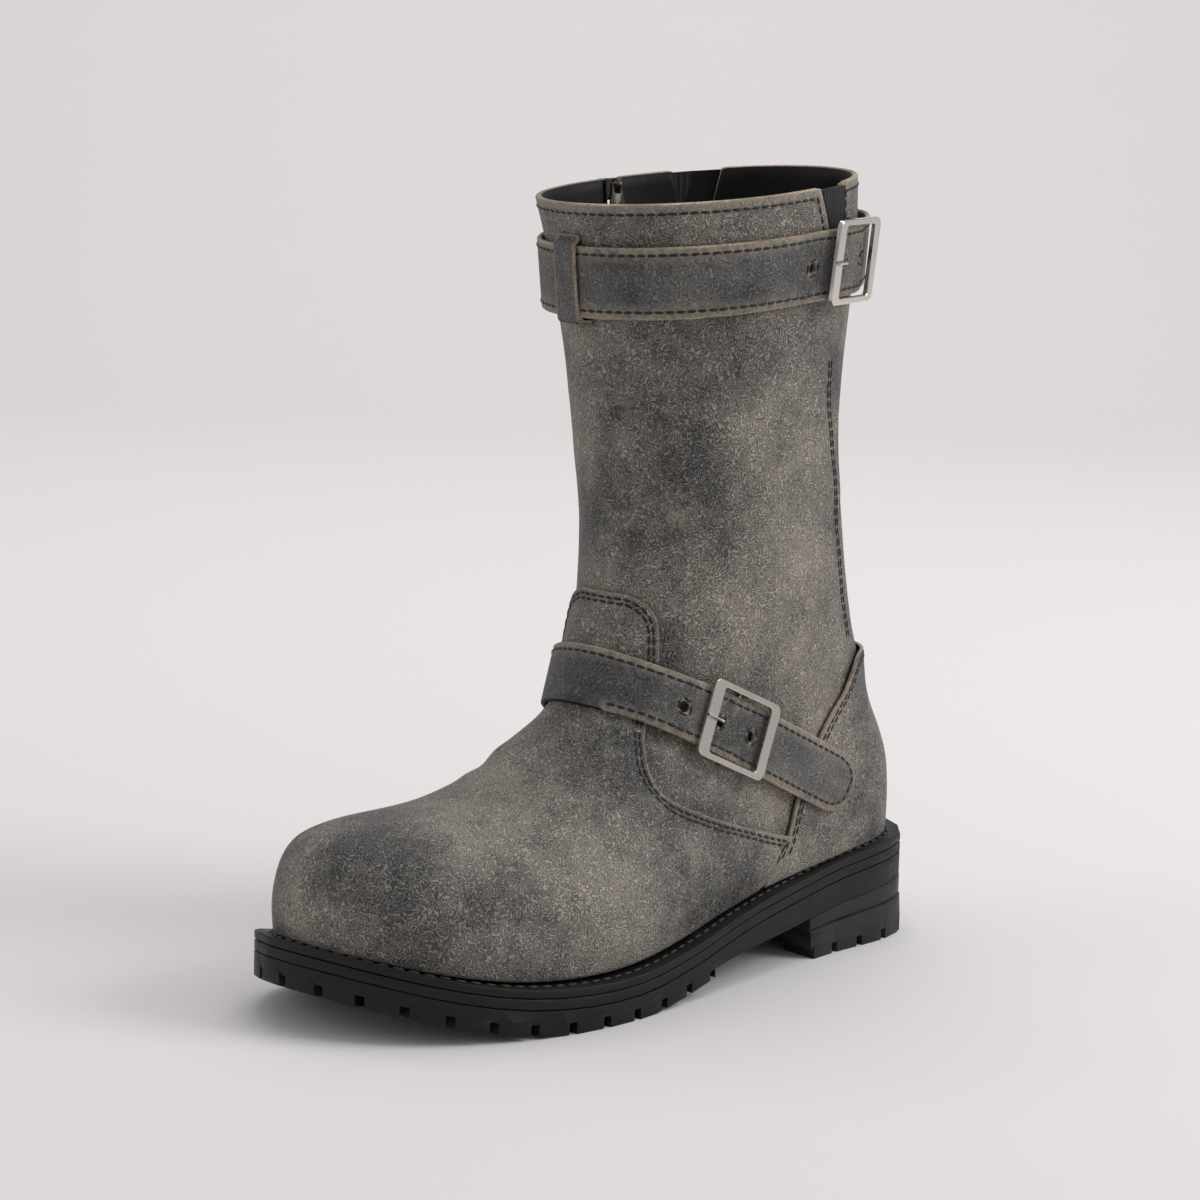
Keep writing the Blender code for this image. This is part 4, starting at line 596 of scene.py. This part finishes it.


# Marks of wear, and marks of tone that are partly the hide's own and partly painted light and shade, placed
# on the side that the photograph shows and their like on the other sides
marks = {
    "toneAndPaintedLight": (
        # place and radius in mm, how much lighter or darker: partly the hide's own tone, partly painted light
        # and shade
        ((-4, -3, 213), 22, -0.04), ((-30, 3, 207), 16, 0.08), ((25, 10, 208), 22, 0.02),
        ((22, 14, 160), 20, 0.08), ((39, 56, 214), 20, 0.12), ((37, 56, 160), 18, 0.16),
        ((34, 70, 126), 18, 0.28), ((29, 86, 93), 14, 0.14), ((36, 0, 290), 18, 0.04),
        ((9, 2, 145), 16, -0.06), ((-1, 0, 183), 18, -0.10), ((34, 16, 238), 20, -0.05),
        ((41, -67, 63), 24, 0.23), ((50, -35, 57), 20, 0.16), ((30, -102, 66), 16, 0.12),
        ((31, -17, 89), 18, -0.18), ((37, 33, 61), 16, -0.03), ((49, -1, 37), 14, -0.06),
        ((14, -136, 62), 20, -0.22), ((9, -117, 72), 18, -0.12), ((35, -129, 34), 18, -0.20),
        ((-9, -148, 52), 14, 0.12), ((5, -4, 136), 12, 0.05), ((34, -1, 268), 24, 0.06),
        ((20, -7, 113), 20, -0.20), ((35, 80, 75), 16, 0.12), ((27, 113, 82), 18, 0.10),
        ((30, 111, 58), 14, -0.02), ((0, 140, 66), 24, 0.05), ((-44, 100, 60), 24, 0.08),
        ((-50, -50, 50), 26, 0.08), ((-50, 60, 130), 26, 0.10), ((-50, 60, 220), 26, 0.05),
        ((-46, 20, 170), 22, -0.08), ((-34, -118, 54), 20, -0.10),
    ),
    "scuff": (
        # place and radius in mm, how far the finish is rubbed through
        ((21, 11, 178), 4, 0.75), ((17, 8, 179), 3, 0.55), ((36, 62, 158), 6, 0.55),
        ((35, 72, 143), 5, 0.55), ((36, 52, 149), 4, 0.50), ((33, 67, 127), 6, 0.50),
        ((29, 86, 93), 5, 0.60), ((34, 53, 58), 4, 0.50), ((27, 100, 100), 4, 0.45),
        ((38, 40, 226), 5, 0.35), ((-13, -149, 38), 6, 0.40), ((30, -130, 38), 4, 0.30),
        ((46, -70, 34), 5, 0.30), ((32, 118, 66), 4, 0.35), ((-52, -20, 40), 6, 0.35),
        ((0, 146, 56), 5, 0.35), ((-46, 70, 150), 5, 0.40), ((-48, 40, 110), 5, 0.40),
    ),
    "fade": 1.1, "reach": 2.2,                  # how a mark fades out, and where it ends, in radii
}


# Per-point tone with painted light and shade, scuff and edge wear, read by the leather
def markFields(skin):
    mesh = skin.data
    rim = {i for p in mesh.polygons if p.material_index == rimIndex for i in p.vertices}
    tree = KDTree(max(1, len(rim)))
    for i in rim:
        tree.insert(mesh.vertices[i].co, i)
    tree.balance()
    fields = {name: mesh.attributes.new(name, "FLOAT", "POINT") for name in ("toneAndPaintedLight", "scuff", "wear")}
    for i, vertex in enumerate(mesh.vertices):
        p = vertex.co
        for name in ("toneAndPaintedLight", "scuff"):
            total = 0.0
            for place, radius, amount in marks[name]:
                gap = (p - Vector(place)*mm).length/(radius*mm)
                if gap < marks["reach"]:
                    total += amount*math.exp(-gap*gap*marks["fade"])
            fields[name].data[i].value = total
        if rim:
            fields["wear"].data[i].value = max(0.0, 1 - tree.find(p)[2]/(cutEdge["wear"]*mm))


skins = {}


def makePanels():
    for name, (finish, slotName, levels, wall) in panels.items():
        skin = mergedCopy(name)
        faceParts(skin, wall*mm)
        smooth = skin.modifiers.new("round", "SUBSURF")
        smooth.levels = smooth.render_levels = levels
        select(skin)
        bpy.ops.object.modifier_apply(modifier="round")
        if name in folded:
            for vertex in skin.data.vertices:
                vertex.co += fromSpine(vertex.co)*foldDepth(vertex.co)
        markFields(skin)
        for material in (finishes[finish], finishes["rawEdge"], finishes["lining"]):
            skin.data.materials.append(material)
        select(skin)
        bpy.ops.object.shade_smooth_by_angle(angle=sharpTurn)
        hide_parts(name)
        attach(skin, bodyName)
        skins[name] = skin
        print("panel", name, len(skin.data.polygons))


# Thread
stitches = {
    # all in mm, apart from the slant
    "length": 3.7, "gap": 0.35, "width": 1.2, "height": 0.8, "rise": 0.05,
    "insets": {"upper": (3.3,), "vamp": (1.9, 3.8), "counter": (2.0, 3.9), "collar_strap": (2.3,),
               "ankle_strap": (2.3,)},          # rows inside each piece's border
    "seamInsets": (1.8, 3.8),
    "clearOfSole": 10,                          # borders this near the welt are tucked under, not sewn
    "rowStep": 1.5, "longestStep": 6,
    "slant": 0.07,                              # how unevenly the stitches lie
    "weltLength": 4.6, "weltGap": 1.1, "weltWidth": 1.5, "weltHeight": 1.2,
    "weltInset": 5.3, "weltRise": 0.1,
}


# One stitch, as a flattened bead that lies along X
def stitchTemplate(length, width, height):
    bpy.ops.object.select_all(action="DESELECT")
    bpy.ops.mesh.primitive_uv_sphere_add(segments=6, ring_count=4, radius=0.5)
    made = bpy.context.object
    bpy.ops.object.mode_set(mode="EDIT")
    bpy.ops.transform.rotate(value=math.pi/2, orient_axis="Y", center_override=(0, 0, 0))
    bpy.ops.transform.resize(value=(length*mm, width*mm, height*mm), center_override=(0, 0, 0))
    bpy.ops.object.mode_set(mode="OBJECT")
    mesh = made.data.copy()
    bpy.data.objects.remove(made, do_unlink=True)
    return mesh


# One mesh of stitches along rows of (point, normal)
def sewn(name, rows, template, pitch, rise, finish):
    thread = bmesh.new()
    for row, closed in rows:
        points = [p for p, n in row]
        if len(points) < 3:
            continue
        runs = runsAlong(points + points[:1] if closed else points)
        count = int(runs[-1]/pitch)
        k = 0
        for i in range(count):
            at = (i + 0.5)*runs[-1]/count
            while k < len(runs) - 2 and runs[k + 1] < at:
                k += 1
            share = (at - runs[k])/max(1e-9, runs[k + 1] - runs[k])
            j = (k + 1) % len(points)
            place = points[k].lerp(points[j], share)
            up = row[k][1].lerp(row[j][1], share).normalized()
            ahead = points[j] - points[k]
            if ahead.length > stitches["longestStep"]*mm:
                continue
            ahead = (ahead - up*ahead.dot(up)).normalized()
            slant = random.uniform(-stitches["slant"], stitches["slant"])
            ahead = (ahead + up.cross(ahead)*slant).normalized()
            turn = Matrix((ahead, up.cross(ahead), up)).transposed().to_4x4()
            start = len(thread.verts)
            thread.from_mesh(template)
            thread.verts.ensure_lookup_table()
            bmesh.ops.transform(thread, matrix=Matrix.Translation(place + up*rise*mm) @ turn,
                                verts=thread.verts[start:])
    mesh = bpy.data.meshes.new(name)
    thread.to_mesh(mesh)
    thread.free()
    mesh.shade_smooth()
    mesh.materials.append(finishes[finish])
    made = bpy.data.objects.new(name, mesh)
    bpy.context.scene.collection.objects.link(made)
    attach(made, bodyName)
    print("thread", name, len(mesh.polygons))


def makeStitches():
    template = stitchTemplate(stitches["length"], stitches["width"], stitches["height"])
    pitch = (stitches["length"] + stitches["gap"])*mm
    for name, insets in stitches["insets"].items():
        tree = outsideTree(skins[name])
        rows = []
        for loop in rimLoops(skins[name]):
            for distance in insets:
                row, closed = insetRow(loop, distance*mm, tree)
                if any(nearSole(p, name) for p, n in row):
                    rows.extend(broken(row, name))
                else:
                    rows.append((row, closed))
        sewn(name + "Stitches", rows, template, pitch, stitches["rise"], "thread")
    seamStitches(template, pitch)
    weltStitches()


wellOutside = 0.12               # metres, from where rays look in at the boot's sides
seamRows = {
    # side: height and place along the boot in mm, of the rear seam's front edge
    1: ((124, 108), (143, 98.5), (155, 94.5), (172, 92.7), (192, 88), (215, 80), (240, 75)),
    -1: ((124, 108), (143, 98.5), (155, 94.5), (172, 93), (192, 91.6), (215, 90), (250, 88)),
}


# Two rows of thread ahead of each rear seam of the shaft
def seamStitches(template, pitch):
    tree = outsideTree(skins["upper"])
    rows = []
    for side, table in seamRows.items():
        for inset in stitches["seamInsets"]:
            row = []
            for (z0, y0), (z1, y1) in zip(table[:-1], table[1:]):
                for k in range(8):
                    z, y = z0 + (z1 - z0)*k/8, y0 + (y1 - y0)*k/8 - inset
                    origin = Vector((side*wellOutside, y*mm, z*mm))
                    at, normal = tree.ray_cast(origin, Vector((-side, 0, 0)))[:2]
                    if at is not None:
                        row.append((at, normal))
            rows.append((row, False))
    sewn("rearSeamStitches", rows, template, pitch, stitches["rise"], "thread")


# Long stitches in the welt's channel, all round the boot
def weltStitches():
    template = stitchTemplate(stitches["weltLength"], stitches["weltWidth"], stitches["weltHeight"])
    pitch = (stitches["weltLength"] + stitches["weltGap"])*mm
    spare = mergedCopy("welt")
    mesh = spare.data
    tops = [tuple(p.vertices) for p in mesh.polygons if p.normal.z > sole["upward"]]
    tree = BVHTree.FromPolygons([v.co.copy() for v in mesh.vertices], tops)
    loops = rimLoops(spare, topSide)
    longest = max(loops, key=lambda loop: max(p.y for p in loop[0]) - min(p.y for p in loop[0]))
    row, closed = insetRow(longest, stitches["weltInset"]*mm, tree)
    bpy.data.objects.remove(spare, do_unlink=True)
    sewn("weltStitches", [(row, closed)], template, pitch, stitches["weltRise"], "weltThread")


# Edges tucked under the welt aren't sewn through the face
def nearSole(point, name):
    return name in folded and point.z < weltTop(point.y) + stitches["clearOfSole"]*mm


# The stretches of a row that clear the sole
def broken(row, name):
    out, run = [], []
    for p, n in row:
        if nearSole(p, name):
            if len(run) > 3:
                out.append((run, False))
            run = []
        else:
            run.append((p, n))
    if len(run) > 3:
        out.append((run, False))
    return out


# Sole: welt, midsole, tread and heel in moulded rubber
sole = {
    # node: finish, slot
    "pieces": {"welt": ("welt", "black_welt"), "midsole": ("rubber", "black_rubber"),
               "outsole": ("rubber", "black_rubber"), "heel": ("heelRubber", "black_rubber")},
    "flat": 1.0,                 # degrees, faces that turn less are one face
    "edge": 0.45, "edgeTurn": 35, "edgeSteps": 2,       # mm and degrees, the rounding of moulded edges
    "smoothTurn": 40,            # degrees
    "upward": 0.7, "upright": 0.5,                      # the rise of a normal, at least and at most
    "nearby": 7, "usualTop": 34,                        # mm, how the welt's height is looked up
}
weltPoints = sorted((v.co.y, v.co.z) for v in nodes["welt"].data.vertices)


# Height of the welt's top at a place along the boot
def weltTop(y):
    return max((z for at, z in weltPoints if abs(at - y) < sole["nearby"]*mm), default=sole["usualTop"]*mm)


def makeSole():
    for name, (finish, slotName) in sole["pieces"].items():
        skin = mergedCopy(name, math.radians(sole["flat"]))
        edge = skin.modifiers.new("edge", "BEVEL")
        edge.width = sole["edge"]*mm
        edge.segments = sole["edgeSteps"]
        edge.limit_method = "ANGLE"
        edge.angle_limit = math.radians(sole["edgeTurn"])
        edge.use_clamp_overlap = True
        select(skin)
        bpy.ops.object.modifier_apply(modifier="edge")
        bpy.ops.object.shade_smooth_by_angle(angle=math.radians(sole["smoothTurn"]))
        skin.data.materials.append(finishes[finish])
        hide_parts(name)
        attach(skin, bodyName)
        print("sole", name, len(skin.data.polygons))


# Buckles and zip in metal; the elastic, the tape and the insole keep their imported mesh
hardware = {
    # node: finish, slot
    "metal": {"collar_buckle": ("nickel", "brushed_nickel"), "ankle_buckle": ("nickel", "brushed_nickel"),
              "collar_prong": ("nickel", "brushed_nickel"), "ankle_prong": ("nickel", "brushed_nickel"),
              "zip_slider": ("gunmetal", "dark_zip_metal"), "zip_pull": ("gunmetal", "dark_zip_metal")},
    "packed": {"gore_outer": ("elastic", "black_elastic"), "gore_inner": ("elastic", "black_elastic"),
               "zip_chain": ("zipTape", "dark_zip_metal"), "insole": ("insole", "insole_foam")},
    "flat": 1.0, "smoothTurn": 32,              # degrees
}


def makeHardware():
    for name, (finish, slotName) in hardware["metal"].items():
        skin = mergedCopy(name, math.radians(hardware["flat"]))
        select(skin)
        bpy.ops.object.shade_smooth_by_angle(angle=math.radians(hardware["smoothTurn"]))
        skin.data.materials.append(finishes[finish])
        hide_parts(name)
        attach(skin, "zip_pull" if name == "zip_pull" else bodyName)
    for name, (finish, slotName) in hardware["packed"].items():
        node = nodes[name]
        node.data.materials.clear()
        node.data.materials.append(finishes[finish])
    print("hardware", len(hardware["metal"]), "and", len(hardware["packed"]), "packed pieces")


def wholeTree(skin):
    return BVHTree.FromPolygons([v.co.copy() for v in skin.data.vertices],
                                [tuple(p.vertices) for p in skin.data.polygons])


strip = {"from": 20, "step": 0.6, "rays": 150}      # mm along the boot, where rays look for a strip


# Middle of a narrow upright strip on the boot's side at a height, found by rays from outside
def levelMiddle(tree, side, z):
    hits = []
    for k in range(strip["rays"]):
        y = (strip["from"] + k*strip["step"])*mm
        at = tree.ray_cast(Vector((side*wellOutside, y, z)), Vector((-side, 0, 0)))[0]
        if at is not None:
            hits.append(at)
    return (hits[0] + hits[-1])/2 if hits else None


backings = {
    # node: finish, share wider than the piece, mm wider to each side, mm longer at the bottom, mm behind it
    # the gores' backing takes the near-black lining, with its painted shade
    "gore_outer": ("lining", 0.12, 1.4, 2.4, 0.5),
    "gore_inner": ("lining", 0.12, 1.4, 2.4, 0.5),
    "zip_chain": ("zipTape", 1.6, 0, 0, 2.6),
}


# Cloth behind the gores and the zip, wide enough to reach under the leather beside them
def makeBackings():
    for name, (finish, spread, wider, longer, behind) in backings.items():
        skin = mergedCopy(name)
        side = 1 if name == "gore_outer" else -1
        tree = wholeTree(skin)
        top = max(v.co.z for v in skin.data.vertices)
        height = top - min(v.co.z for v in skin.data.vertices)
        for vertex in skin.data.vertices:
            middle = levelMiddle(tree, side, vertex.co.z) or vertex.co
            out = fromSpine(middle)
            offset = vertex.co - middle
            offset.z = 0
            run = offset - out*offset.dot(out)
            vertex.co += run*spread + run.normalized()*wider*mm - out*behind*mm
            vertex.co.z -= (top - vertex.co.z)/height*longer*mm
        skin.data.materials.append(finishes[finish])
        select(skin)
        bpy.ops.object.shade_smooth_by_angle(angle=sharpTurn)
        skin.name = name + "Backing"
        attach(skin, bodyName)
        print("backing", name, len(skin.data.polygons))


zipTeeth = {
    "pitch": 1.7, "length": 1.25, "width": 3.4, "height": 1.5, "sink": 0.1,     # mm
    "heights": (93, 288, 3),                    # mm, from, to, step
}


# The closed teeth of the zip, as one row of metal beads over its tape
def makeTeeth():
    tree = wholeTree(nodes["zip_chain"])
    row = []
    for z in range(*zipTeeth["heights"]):
        middle = levelMiddle(tree, -1, z*mm)
        if middle is not None:
            row.append((middle, fromSpine(middle)))
    template = stitchTemplate(zipTeeth["length"], zipTeeth["width"], zipTeeth["height"])
    sewn("zipTeeth", [(row, False)], template, zipTeeth["pitch"]*mm, -zipTeeth["sink"], "gunmetal")


makeStage()
makeCamera()
makePanels()
makeSole()
makeHardware()
makeBackings()
makeTeeth()
makeStitches()
